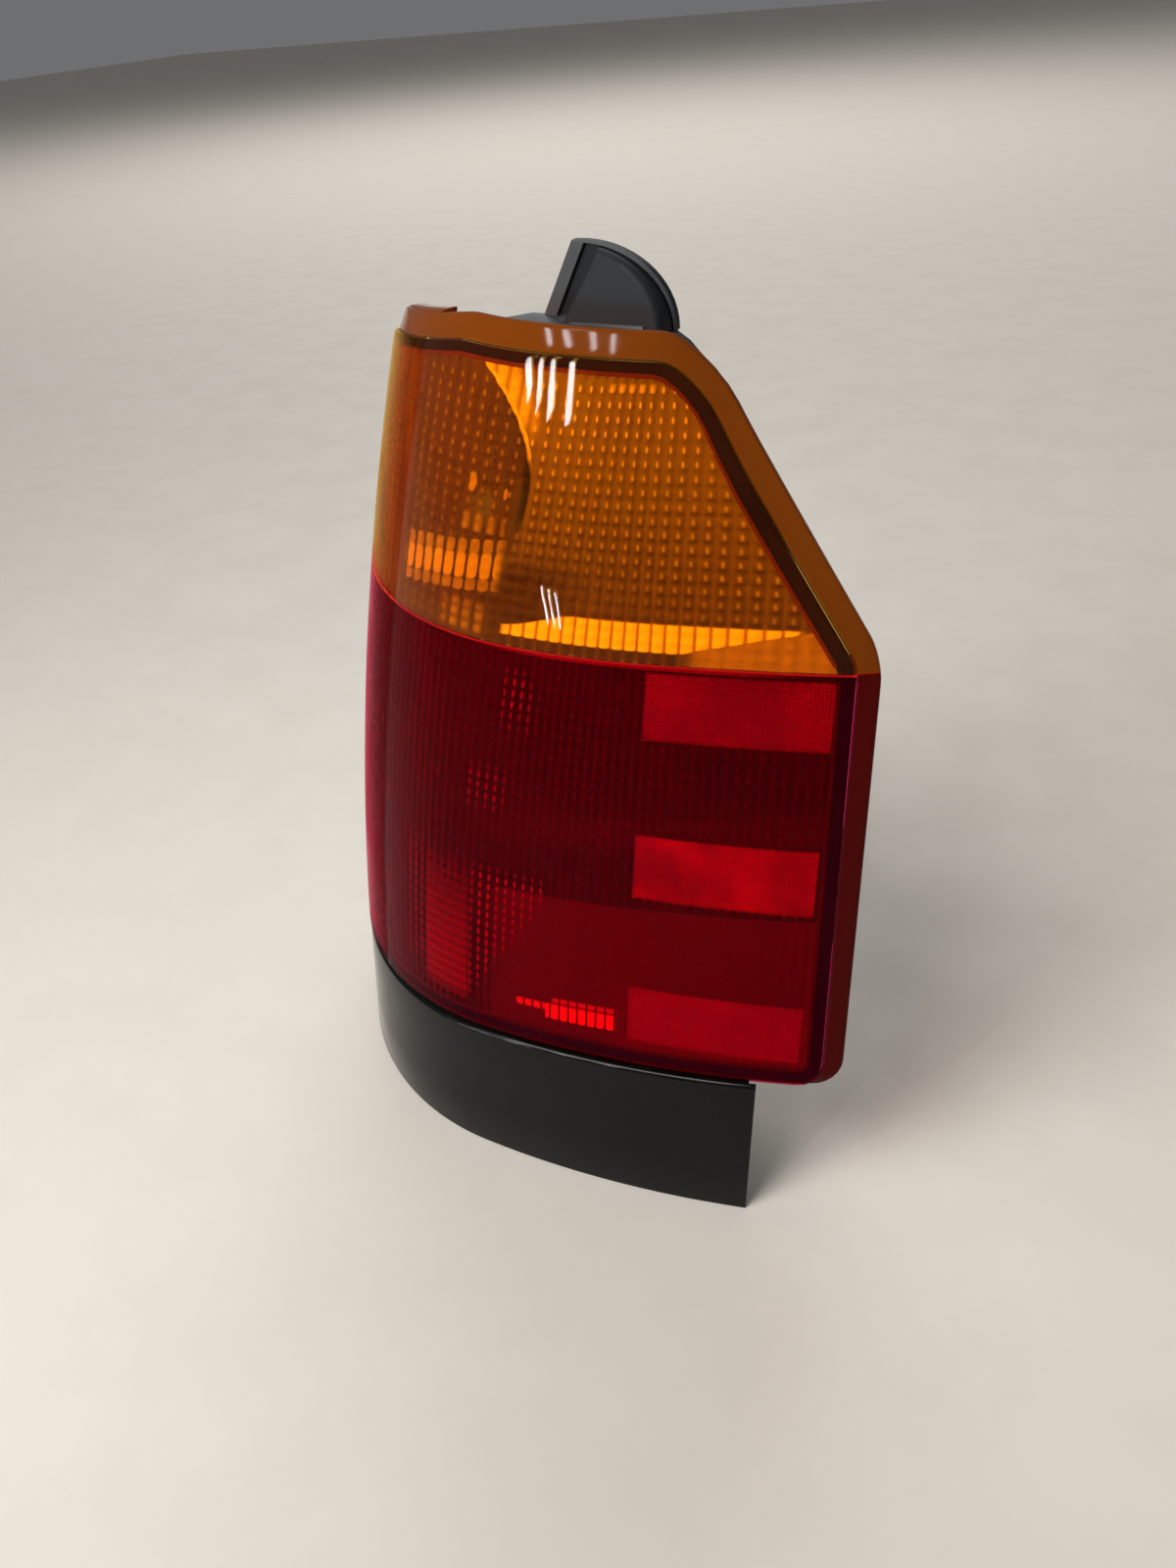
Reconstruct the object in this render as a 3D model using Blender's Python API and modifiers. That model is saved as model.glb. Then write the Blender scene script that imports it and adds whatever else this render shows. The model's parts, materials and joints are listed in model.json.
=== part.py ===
# Left rear corner lamp of a car: a two-colour lens over a black housing with three twist-lock
# bulb holders, and a filler trim panel below it.
#
# Modelling frame: X runs inboard along the lamp's face, Y into the car, Z up. Heights count from the
# trim's bottom edge and X from its inboard end. An empty then shifts it all to the body seat datum.

import bmesh
import bpy
from math import acos, asin, cos, pi, radians, sin, sqrt
from mathutils import Matrix, Vector

mm = 0.001

# The outer face: a long arc across the rear, a tighter one round the car's corner
FACE_RADIUS = 620 * mm
CORNER_RADIUS = 165 * mm
APEX_X = -160 * mm
APEX_Y = -23 * mm
LEAN = 0.19
SIDE_TOP_SHIFT = 57.06 * mm
SIDE_CURVE_FROM = 40 * mm
SIDE_FADE_START = -20 * mm
SIDE_FADE_END = 140 * mm

# Filler trim below the lens
TRIM_RIGHT = 0 * mm
TRIM_HEIGHT = 85 * mm
TRIM_TILT = 0.027
TRIM_SET_BACK = 0.6 * mm
TRIM_WALL = 2.8 * mm
TRIM_LIP_REACH = 36 * mm
TRIM_LIP_DROP = 2 * mm
TRIM_FOOT_REACH = 12 * mm
TRIM_EDGE = 1.4 * mm
TRIM_SCREWS = (-88 * mm, 16 * mm, 118 * mm)
TRIM_SCREW_DEPTH = 27 * mm
TRIM_BOSS_RADIUS = 6 * mm
TRIM_HOLE_SLACK = 1.3 * mm

# Lens outline on the face, upwards from the seam over the trim
SEAM = 1.6 * mm
RED_HEIGHT = 228.4 * mm
AMBER_HEIGHT = 144 * mm
LENS_RIGHT = 42.4 * mm
KINK_X = 38 * mm
KINK_RISE = 6 * mm
TOP_CORNER_X = -49 * mm
TOP_FALL_INBOARD = 3.5 * mm
TOP_FALL_OUTBOARD = 13.5 * mm
TOP_BREAK = 60 * mm
WRAP_BOTTOM = radians(74)
WRAP_TOP = radians(56)
LENS_BASE = TRIM_HEIGHT + SEAM
COLOUR_LINE = LENS_BASE + RED_HEIGHT
LENS_TOP = COLOUR_LINE + AMBER_HEIGHT
SIDE_CURVE = SIDE_TOP_SHIFT / (LENS_TOP - SIDE_CURVE_FROM) ** 2

# Lens section
LENS_WALL = 3 * mm
FLANGE = 10 * mm
FLANGE_OUTBOARD = 6 * mm
FLANGE_BOTTOM = 2.2 * mm
FLANGE_DROP = 2.4 * mm
FLANGE_REACH = 7.5 * mm
FACE_EDGE = 1 * mm
LENS_LUG_START = 87 * mm
LENS_LUG_END = 146 * mm
LENS_LUG_REACH = 14 * mm
LENS_LUG_WALL = 3.4 * mm
LENS_LUG_PROUD = 1.2 * mm

# Depth of the lamp: the turn bulb, highest on the leaning face, has to clear the lens
BULB_X = -180 * mm
BULB_TO_LINE = 63 * mm
BULB_CLEAR = 17 * mm
BULB_SEAT = 29 * mm
GLASS_LENGTH = 28 * mm
TURN_BULB_Z = COLOUR_LINE + BULB_TO_LINE
TURN_FACE_Y = APEX_Y + CORNER_RADIUS - sqrt(CORNER_RADIUS ** 2 - (BULB_X - APEX_X) ** 2) + LEAN * TURN_BULB_Z
BACK_Y = TURN_FACE_Y + LENS_WALL + BULB_CLEAR + GLASS_LENGTH + BULB_SEAT

# Housing
WALL = 2.5 * mm
BUCKET_LEFT = -238 * mm
BUCKET_SET_IN_RIGHT = 30 * mm
BUCKET_SET_IN_SLANT = 48 * mm
BUCKET_SET_IN_BOTTOM = 9.2 * mm
BUCKET_SET_IN_TOP = 0.5 * mm
BUCKET_CORNER = 14 * mm
BUCKET_SLANT_CORNER = 34 * mm
SEAL_WIDTH = 5.5 * mm
SEAL_DEPTH = 5 * mm
TRAY_INSET = 1.1 * mm
TRAY_WALL = 4.5 * mm
TRAY_FLOOR = 20 * mm
TRAY_FLOOR_WALL = 2.5 * mm
PAD_SIZE = (50 * mm, 50 * mm)
PAD_HEIGHT = 4 * mm
BOSS_RADIUS = 11 * mm
BOSS_HEIGHT = 6 * mm
RIB_THICK = 2 * mm
RIB_HEIGHT = 4 * mm
RIBS = 4

# Body datum: centre of the seat pad on the housing's back
DATUM = Vector((-70 * mm, BACK_Y + PAD_HEIGHT, LENS_BASE + 143.4 * mm))

# Arched hood on the housing's top
HOOD_X = -118 * mm
HOOD_RADIUS = 35.5 * mm
HOOD_FLAT = radians(109)
HOOD_SIDE_SHARE = 2.2
HOOD_FRONT = BACK_Y - 15 * mm
HOOD_BACK = BACK_Y + 3 * mm
HOOD_WALL = 3 * mm
HOOD_RIM = 4 * mm
HOOD_CHAMFER = 5 * mm
HOOD_STEPS = 12

# Bulb holders
TAIL_BULB_RISE = 65.4 * mm
SOCKET_RADIUS = 12.4 * mm
SOCKET_STEP = 1.4 * mm
SOCKET_FLANGE = SOCKET_RADIUS + 6.6 * mm
SOCKET_FLANGE_WALL = 3 * mm
LUG_REACH = SOCKET_RADIUS + 3.1 * mm
LUG_HOLE = LUG_REACH + 1.5 * mm
LUG_WIDTH = 6 * mm
LUG_WALL = 2.2 * mm
LUGS = 3
TWIST = radians(45)
GRIP = (34 * mm, 10 * mm, 7 * mm)
SOCKET_SEAL_WALL = 1.5 * mm
SOCKET_FRONT = BACK_Y - 23 * mm
BULB_BASE_RADIUS = 7.8 * mm
BULB_BASE_FRONT = BACK_Y - BULB_SEAT
BULB_BASE_BACK = BACK_Y - 12 * mm
GLASS_RADIUS = 12.5 * mm
GLASS_WALL = 0.8 * mm
GLASS_NECK = 3 * mm
FILAMENT_WIRE = 0.45 * mm
FILAMENT_HALF_SPAN = 4 * mm
FILAMENT_HEIGHT = 15 * mm
FILAMENT_TURNS = 9
FILAMENT_SWING = 0.9 * mm

# Reflectors, divider and reflex panels; each bulb has its height, its bowl's radius and the place in
# front of the housing's back where the bowl has that radius
REFLECTOR_DEPTH = 14 * mm
REFLECTOR_WALL = 2 * mm
BOWL_NECK_Y = BACK_Y - 10 * mm
BOWL_HOLE = max(GLASS_RADIUS + 0.5 * mm, SOCKET_RADIUS + 0.6 * mm)
BOWL_STEPS = 7
BULBS = {"turn": (TURN_BULB_Z, 52 * mm, BACK_Y - 65 * mm),
         "stop": (COLOUR_LINE - BULB_TO_LINE, 46 * mm, BACK_Y - 97 * mm),
         "tail": (LENS_BASE + TAIL_BULB_RISE, 46 * mm, BACK_Y - 97 * mm)}
DIVIDER_WALL = 1.6 * mm
REFLEX_LEFT = -72 * mm
REFLEX_RIGHT = 20 * mm
REFLEX_WALL = 2 * mm
REFLEX_CORNER = 2 * mm
REFLEX_GAP = 0.6 * mm
REFLEX_ROWS = {"reflex_panel_upper": (COLOUR_LINE - 38 * mm, 34 * mm),
               "reflex_panel_middle": (COLOUR_LINE - 125 * mm, 36 * mm),
               "reflex_panel_lower": (LENS_BASE + 14.4 * mm, 35 * mm)}

# Carrier plate on the back
PLATE_HALF = 42 * mm
PLATE_PAST_BULB = 36 * mm
PLATE_LEFT = BULB_X - PLATE_HALF
PLATE_RIGHT = BULB_X + PLATE_HALF
PLATE_BOTTOM = BULBS["tail"][0] - PLATE_PAST_BULB
PLATE_TOP = BULBS["turn"][0] + PLATE_PAST_BULB
PLATE_WALL = 3 * mm
PLATE_CORNER = 9 * mm
PLATE_RIB_INSET = 20 * mm
GASKET_WALL = 1.5 * mm
GASKET_INSET = 1.5 * mm
GASKET_WIDTH = 5 * mm
PLATE_SCREW_INSET = 9 * mm
SCREW_SHANK = 1.9 * mm
SCREW_LENGTH = 9 * mm
SCREW_HEAD = 4.4 * mm
SCREW_HEAD_HEIGHT = 2.6 * mm
SCREW_SLOT = 0.9 * mm
SCREW_STEPS = 12
SCREW_SEAT = 0.5 * mm
HEADER = (34 * mm, 20 * mm, 18 * mm)
HEADER_WALL = 1.8 * mm
HEADER_LATCH = 4 * mm
PIN = (2.2 * mm, 0.8 * mm, 12 * mm)
PIN_COUNT = 4
PIN_PITCH = 6.4 * mm

# Fixings on the back: x and z of each
STUD_X = PLATE_RIGHT + 30 * mm
STUDS = {"stud_upper": (STUD_X, BULBS["turn"][0] + 32 * mm),
         "stud_lower": (STUD_X, BULBS["tail"][0] - 34 * mm)}
STUD_RADIUS = 3 * mm
STUD_REACH = 28 * mm
STUD_POINT = 1.5 * mm
LOCATOR_SET_IN = 16 * mm
LOCATOR_RADIUS = 4 * mm
LOCATOR_REACH = 24 * mm
LOCATOR_POINT = 8 * mm
GROMMET_RADIUS = 9 * mm
GROMMET_WALL = 5 * mm
GROMMET_LIP = 1.4 * mm
VENT_X = PLATE_RIGHT + 26 * mm
VENTS = {"vent_cap_upper": (VENT_X, COLOUR_LINE + 20 * mm),
         "vent_cap_lower": (VENT_X, LENS_BASE + 88.4 * mm)}
VENT_RADIUS = 7 * mm
VENT_HEIGHT = 9 * mm
VENT_STUB = 3.85 * mm
VENT_BORE = 2.1 * mm
VENT_CAP_WALL = 1.5 * mm

GAP = 0.3 * mm
SLACK = 0.4 * mm
FAR = 300 * mm

# Facet sizes: along the corner arc, along the face arc and up the height
STEP_CORNER = 20 * mm
STEP_FACE = 40 * mm
STEP_UP = 60 * mm
ROUND_STEPS = 20
SMALL_STEPS = 14
CORNER_STEPS = 5


def clear_scene():
    for obj in list(bpy.data.objects):
        bpy.data.objects.remove(obj, do_unlink=True)
    for group in list(bpy.data.collections):
        bpy.data.collections.remove(group)


def new_collection(name):
    group = bpy.data.collections.new(name)
    bpy.context.scene.collection.children.link(group)
    return group


clear_scene()
PARTS = new_collection("rear_corner_lamp")
CUTTERS = new_collection("cutters")
SEAT = bpy.data.objects.new("body_datum", None)
SEAT.location = -DATUM
PARTS.objects.link(SEAT)


# The face as a map: distance along it, depth behind it, height

def along(x):
    """Distance along the face arc at a given X, inboard of the apex or outboard on the corner arc."""
    radius = FACE_RADIUS if x >= APEX_X else CORNER_RADIUS
    return radius * asin((x - APEX_X) / radius)


def side_shift(s, z):
    """How far the lamp's side has curved inwards at this height; it fades out across the rear face."""
    rise = max(0.0, z - SIDE_CURVE_FROM)
    t = (SIDE_FADE_END - s) / (SIDE_FADE_END - SIDE_FADE_START)
    t = min(1.0, max(0.0, t))
    return SIDE_CURVE * rise * rise * t * t * (3 - 2 * t)


def face_point(s, depth, z):
    radius = FACE_RADIUS if s >= 0 else CORNER_RADIUS
    turn = s / radius
    x = APEX_X + (radius - depth) * sin(turn) + side_shift(s, z)
    y = APEX_Y + radius - (radius - depth) * cos(turn) + LEAN * z
    return Vector((x, y, z))


# Outlines

def rounded(corners, steps=CORNER_STEPS):
    """Polygon from corners (u, v, radius), each corner turned into an arc."""
    points = []
    count = len(corners)
    for i, (u, v, radius) in enumerate(corners):
        here = Vector((u, v))
        before = Vector(corners[i - 1][:2]) - here
        after = Vector(corners[(i + 1) % count][:2]) - here
        reach = min(radius / max(1e-9, _tan_half(before, after)), 0.49 * before.length, 0.49 * after.length)
        start = here + before.normalized() * reach
        end = here + after.normalized() * reach
        for k in range(steps + 1):
            t = k / steps
            points.append((1 - t) ** 2 * start + 2 * t * (1 - t) * here + t * t * end)
    return points


def _tan_half(a, b):
    angle = a.angle(b)
    return sin(angle / 2) / max(1e-9, cos(angle / 2))


def inset_corners(corners, insets):
    """Corners of a polygon whose edge i, from corner i to the next, moves inwards by insets[i]."""
    count = len(corners)
    lines = []
    for i in range(count):
        a = Vector(corners[i][:2])
        direction = (Vector(corners[(i + 1) % count][:2]) - a).normalized()
        inward = Vector((-direction.y, direction.x))
        lines.append((a + inward * insets[i], direction))
    moved = []
    for i in range(count):
        p, d = lines[i - 1]
        q, e = lines[i]
        t = (q - p).cross(e) / d.cross(e)
        radius = max(1.5 * mm, corners[i][2] - min(insets[i - 1], insets[i]))
        moved.append((*(p + d * t), radius))
    return moved


def trim_top(s):
    """Height of the trim's top edge: the seam falls a little to the outboard side."""
    return TRIM_HEIGHT - TRIM_TILT * (along(TRIM_RIGHT) - s)


# Corners on the face, from the inboard foot round by the top, each with its radius
LENS_CORNERS = [
    (along(LENS_RIGHT), trim_top(along(LENS_RIGHT)) + SEAM, 16 * mm),
    (along(KINK_X), COLOUR_LINE + KINK_RISE, 40 * mm),
    (along(TOP_CORNER_X), LENS_TOP - TOP_FALL_INBOARD, 64 * mm),
    (-TOP_BREAK, LENS_TOP, 60 * mm),
    (-CORNER_RADIUS * WRAP_TOP, LENS_TOP - TOP_FALL_OUTBOARD, 12 * mm),
    (-CORNER_RADIUS * WRAP_BOTTOM, trim_top(-CORNER_RADIUS * WRAP_BOTTOM) + SEAM, 10 * mm),
]
FACE_INSETS = (FLANGE, FLANGE, FLANGE, FLANGE, FLANGE_OUTBOARD, FLANGE_BOTTOM)


def lens_outline(extra=0.0, flange=True):
    """Outline on the lens: its outer edge, or with flange the raised face inside it, moved in by extra."""
    insets = [(f if flange else 0.0) + extra for f in FACE_INSETS]
    return rounded(inset_corners(LENS_CORNERS, insets))


def span_at(outline, z):
    """The least and greatest distance along the face of an outline at one height."""
    hits = []
    for a, b in zip(outline, outline[1:] + outline[:1]):
        if (a.y - z) * (b.y - z) <= 0 and a.y != b.y:
            hits.append(a.x + (b.x - a.x) * (z - a.y) / (b.y - a.y))
    return min(hits), max(hits)


# Meshes

def loft(rings):
    """Closed body through rings of equal length, each a list of points, capped at both ends."""
    bm = bmesh.new()
    loops = [[bm.verts.new(p) for p in ring] for ring in rings]
    for low, high in zip(loops, loops[1:]):
        count = len(low)
        for i in range(count):
            j = (i + 1) % count
            bm.faces.new((low[i], low[j], high[j], high[i]))
    bm.faces.new(list(reversed(loops[0])))
    bm.faces.new(loops[-1])
    bmesh.ops.recalc_face_normals(bm, faces=bm.faces)
    return bm


def wrap(bm):
    """Lays a body modelled flat, as (distance along, depth, height), on the lamp's curved face."""
    low = min(vert.co.x for vert in bm.verts)
    high = max(vert.co.x for vert in bm.verts)
    top = max(vert.co.z for vert in bm.verts)
    across = [0.0] + [-STEP_CORNER * i for i in range(1, 1 + int(max(0.0, -low) / STEP_CORNER))]
    across += [STEP_FACE * i for i in range(1, 1 + int(max(0.0, high) / STEP_FACE))]
    cuts = [(Vector((s, 0, 0)), Vector((1, 0, 0))) for s in across]
    cuts += [(Vector((0, 0, STEP_UP * i)), Vector((0, 0, 1))) for i in range(1, 1 + int(top / STEP_UP))]
    for point, normal in cuts:
        geometry = bm.verts[:] + bm.edges[:] + bm.faces[:]
        bmesh.ops.bisect_plane(bm, geom=geometry, dist=1e-7, plane_co=point, plane_no=normal)
    bmesh.ops.triangulate(bm, faces=bm.faces)
    for vert in bm.verts:
        vert.co = face_point(*vert.co)
    return bm


def wrap_body(obj):
    """The same for a finished flat object."""
    bm = bmesh.new()
    bm.from_mesh(obj.data)
    wrap(bm)
    bm.to_mesh(obj.data)
    bm.free()


def slab(outline, near, far):
    """Sheet that follows the face between two depths."""
    return wrap(loft([[(p.x, near, p.y) for p in outline], [(p.x, far, p.y) for p in outline]]))


def prism(outline, near, far):
    """Straight body along Y with a front-view outline."""
    return loft([[(p.x, near, p.y) for p in outline], [(p.x, far, p.y) for p in outline]])


def box(low, high):
    bm = bmesh.new()
    bmesh.ops.create_cube(bm, size=1.0)
    size = Vector(high) - Vector(low)
    bmesh.ops.scale(bm, vec=size, verts=bm.verts)
    bmesh.ops.translate(bm, vec=(Vector(low) + Vector(high)) / 2, verts=bm.verts)
    return bm


def rod(radius, near, far, x=0.0, z=0.0, steps=ROUND_STEPS):
    """Cylinder along Y."""
    bm = bmesh.new()
    bmesh.ops.create_cone(bm, cap_ends=True, segments=steps, radius1=radius, radius2=radius, depth=far - near)
    bmesh.ops.rotate(bm, verts=bm.verts, matrix=Matrix.Rotation(-pi / 2, 3, "X"))
    bmesh.ops.translate(bm, vec=(x, (near + far) / 2, z), verts=bm.verts)
    return bm


def post(radius, low, high, x, y, steps=ROUND_STEPS):
    """Cylinder along Z."""
    bm = bmesh.new()
    bmesh.ops.create_cone(bm, cap_ends=True, segments=steps, radius1=radius, radius2=radius, depth=high - low)
    bmesh.ops.translate(bm, vec=(x, y, (low + high) / 2), verts=bm.verts)
    return bm


def body(name, bm, group=None):
    mesh = bpy.data.meshes.new(name)
    bm.to_mesh(mesh)
    bm.free()
    obj = bpy.data.objects.new(name, mesh)
    (group or PARTS).objects.link(obj)
    return obj


def cutter(bm):
    obj = body("cutter", bm, CUTTERS)
    obj.hide_render = True
    obj.display_type = "WIRE"
    return obj


def bake(obj):
    """Replaces an object's mesh with what its modifiers make of it."""
    graph = bpy.context.evaluated_depsgraph_get()
    mesh = bpy.data.meshes.new_from_object(obj.evaluated_get(graph))
    obj.modifiers.clear()
    obj.data = mesh
    bm = bmesh.new()
    bm.from_mesh(mesh)
    bmesh.ops.remove_doubles(bm, verts=bm.verts, dist=0.002 * mm)
    bmesh.ops.dissolve_degenerate(bm, edges=bm.edges, dist=0.002 * mm)
    bm.to_mesh(mesh)
    bm.free()
    mesh.name = obj.name
    return obj


def combine(obj, operation, *tools):
    for bm in tools:
        step = obj.modifiers.new(operation.lower(), "BOOLEAN")
        step.operation = operation
        step.object = cutter(bm)
    return bake(obj)


def add(obj, *tools):
    return combine(obj, "UNION", *tools)


def cut(obj, *tools):
    return combine(obj, "DIFFERENCE", *tools)


def turned(name, profile, steps=ROUND_STEPS):
    """Body turned about Y from a profile of (radius, y), with the axis at the object's origin."""
    closed = profile[0][0] > 0
    mesh = bpy.data.meshes.new(name)
    count = len(profile)
    edges = [(i, i + 1) for i in range(count - 1)] + ([(count - 1, 0)] if closed else [])
    mesh.from_pydata([(r, 0.0, y) for r, y in profile], edges, [])
    obj = bpy.data.objects.new(name, mesh)
    PARTS.objects.link(obj)
    screw = obj.modifiers.new("turn", "SCREW")
    screw.steps = steps
    screw.render_steps = steps
    screw.use_merge_vertices = True
    screw.merge_threshold = 0.01 * mm
    bake(obj)
    bm = bmesh.new()
    bm.from_mesh(obj.data)
    bmesh.ops.recalc_face_normals(bm, faces=bm.faces)
    bmesh.ops.rotate(bm, verts=bm.verts, matrix=Matrix.Rotation(-pi / 2, 3, "X"))
    bm.to_mesh(obj.data)
    bm.free()
    return obj


def finish(obj, finish_name, colour, roughness, metallic=0.0, place=(0, 0, 0)):
    """Gives a part its material and hangs it on the datum."""
    mat = bpy.data.materials.get(finish_name)
    if mat is None:
        mat = bpy.data.materials.new(finish_name)
        mat.use_nodes = True
        shader = mat.node_tree.nodes["Principled BSDF"]
        shader.inputs["Base Color"].default_value = (*colour, 1.0)
        shader.inputs["Roughness"].default_value = roughness
        shader.inputs["Metallic"].default_value = metallic
        mat.diffuse_color = (*colour, 1.0)
    obj.data.materials.clear()
    obj.data.materials.append(mat)
    obj.data.shade_smooth()
    obj.data.set_sharp_from_angle(angle=radians(30))
    obj.location = place
    obj.parent = SEAT
    return obj


# Lens

def lens_shell():
    """The whole two-colour lens, flat: raised face, step, sloping flange and its back."""
    rim = 1.2 * mm
    slope = 1.8 * mm
    rings = [
        (lens_outline(FACE_EDGE), 0.0),
        (lens_outline(0.3 * FACE_EDGE), 0.3 * FACE_EDGE),
        (lens_outline(), FACE_EDGE),
        (lens_outline(), FLANGE_DROP),
        (lens_outline(rim, flange=False), FLANGE_DROP + slope),
        (lens_outline(flange=False), FLANGE_DROP + LENS_WALL),
        (lens_outline(flange=False), FLANGE_REACH),
        (lens_outline(0.8 * FLANGE_BOTTOM, flange=False), FLANGE_REACH),
        (lens_outline(-0.1 * mm), FLANGE_DROP + LENS_WALL),
        (lens_outline(0.8 * FACE_EDGE), LENS_WALL),
    ]
    return loft([[(p.x, depth, p.y) for p in ring] for ring, depth in rings])


def half_lens(keep_above):
    """One colour of the lens, flat, cut at the colour line."""
    bm = lens_shell()
    side = 1 if keep_above else -1
    level = COLOUR_LINE + side * GAP / 2
    geometry = bm.verts[:] + bm.edges[:] + bm.faces[:]
    result = bmesh.ops.bisect_plane(bm, geom=geometry, dist=1e-7, plane_co=(0, 0, level),
                                    plane_no=(0, 0, -side), clear_outer=True)
    edges = [e for e in result["geom_cut"] if isinstance(e, bmesh.types.BMEdge)]
    bmesh.ops.edgeloop_fill(bm, edges=edges)
    bmesh.ops.recalc_face_normals(bm, faces=bm.faces)
    return bm


def lens_lug():
    """Locating lug, flat: a stretch of the outboard top edge that reaches further back."""
    near = FLANGE_DROP + LENS_WALL
    bm = box((-LENS_LUG_END, near, LENS_LUG_PROUD - LENS_LUG_WALL),
             (-LENS_LUG_START, LENS_LUG_REACH, LENS_LUG_PROUD))
    fall = TOP_FALL_OUTBOARD / (CORNER_RADIUS * WRAP_TOP - TOP_BREAK)
    for vert in bm.verts:
        vert.co.z += LENS_TOP + fall * (vert.co.x + TOP_BREAK)
    return bm


def make_lens():
    amber = body("amber_lens", half_lens(True))
    add(amber, lens_lug())
    wrap_body(amber)
    finish(amber, "amber_acrylic", (0.80, 0.28, 0.01), 0.12)
    red = body("red_lens", half_lens(False))
    wrap_body(red)
    finish(red, "red_acrylic", (0.35, 0.005, 0.01), 0.12)
    near = LENS_WALL + REFLEX_GAP
    left = along(REFLEX_LEFT)
    right = along(REFLEX_RIGHT)
    for name, (low, height) in REFLEX_ROWS.items():
        corners = [(s, z, REFLEX_CORNER) for s, z in ((right, low), (right, low + height),
                                                      (left, low + height), (left, low))]
        panel = slab(rounded(corners, steps=2), near, near + REFLEX_WALL)
        finish(body(name, panel), "reflex_red", (0.62, 0.0, 0.02), 0.3)


SEAL_NEAR = LENS_WALL + GAP
TRAY_NEAR = SEAL_NEAR + SEAL_DEPTH + GAP


def make_seal():
    seal = body("lens_seal", slab(lens_outline(TRAY_INSET), SEAL_NEAR, SEAL_NEAR + SEAL_DEPTH))
    cut(seal, slab(lens_outline(TRAY_INSET + SEAL_WIDTH), -SEAL_DEPTH, 4 * SEAL_DEPTH))
    finish(seal, "black_sealant", (0.012, 0.010, 0.012), 0.5)


# Housing

def bucket_corners():
    """Front-view corners of the bucket: the lens outline set in, seen at the tray floor's depth."""
    top = FLANGE + TRAY_INSET + BUCKET_SET_IN_TOP
    outboard = FLANGE_OUTBOARD + TRAY_INSET + TRAY_WALL + WALL
    insets = (BUCKET_SET_IN_RIGHT, BUCKET_SET_IN_SLANT, top, top, outboard, BUCKET_SET_IN_BOTTOM)
    corners = []
    for i, (s, z, _) in enumerate(inset_corners(LENS_CORNERS, insets)):
        place = face_point(s, TRAY_FLOOR, z)
        corners.append((place.x, place.z, BUCKET_SLANT_CORNER if i == 2 else BUCKET_CORNER))
    foot = corners[0][1]
    corners[-1] = (BUCKET_LEFT, foot, BUCKET_CORNER)
    return corners


BUCKET_CORNERS = bucket_corners()
BUCKET_BOTTOM = BUCKET_CORNERS[0][1]
BUCKET_RIGHT = BUCKET_CORNERS[1][0]
BUCKET_TOP = BUCKET_CORNERS[3][1]
LOCATORS = {"inboard_upper": (BUCKET_RIGHT - LOCATOR_SET_IN, COLOUR_LINE - 53 * mm),
            "inboard_lower": (BUCKET_RIGHT - LOCATOR_SET_IN, LENS_BASE + 43.4 * mm)}


def bucket_outline(inset=0.0):
    return rounded(inset_corners(BUCKET_CORNERS, [inset] * len(BUCKET_CORNERS)))


def hood_outline(inset, bottom):
    """Arch above the housing's top with a straight cut down its outboard side."""
    radius = HOOD_RADIUS - inset
    side = HOOD_SIDE_SHARE * inset
    start = asin(max(0.0, bottom - BUCKET_TOP) / radius)
    end = acos((HOOD_RADIUS * cos(HOOD_FLAT) + side) / radius)
    angles = [start + (end - start) * i / HOOD_STEPS for i in range(HOOD_STEPS + 1)]
    arch = [Vector((HOOD_X + radius * cos(a), BUCKET_TOP + radius * sin(a))) for a in angles]
    foot = [Vector((HOOD_X + radius, bottom))] if bottom < BUCKET_TOP else []
    return foot + arch + [Vector((HOOD_X - HOOD_RADIUS + side, bottom))]


def hood():
    """The hood's body with its sloping front, and the rim plate behind it."""
    base = BUCKET_TOP - 4 * WALL
    sections = ((HOOD_RIM + HOOD_CHAMFER, HOOD_FRONT), (HOOD_RIM, HOOD_FRONT + HOOD_CHAMFER),
                (HOOD_RIM, HOOD_BACK - HOOD_WALL / 2))
    front = loft([[(p.x, y, p.y) for p in hood_outline(inset, base)] for inset, y in sections])
    return front, prism(hood_outline(0.0, base), HOOD_BACK - HOOD_WALL, HOOD_BACK)


def back_block(x0, x1, z0, z1, height):
    """Raised block on the housing's back."""
    return box((x0, BACK_Y - WALL / 2, z0), (x1, BACK_Y + height, z1))


def trim_boss_bottom(s):
    return trim_top(s) - TRIM_LIP_DROP + 0.5 * mm


def trim_screw_place(s):
    """Where a trim screw stands in plan: at its distance along the face, at the height of the trim's lip."""
    return face_point(s, TRIM_SCREW_DEPTH, trim_top(s) - TRIM_LIP_DROP - TRIM_WALL / 2)


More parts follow.
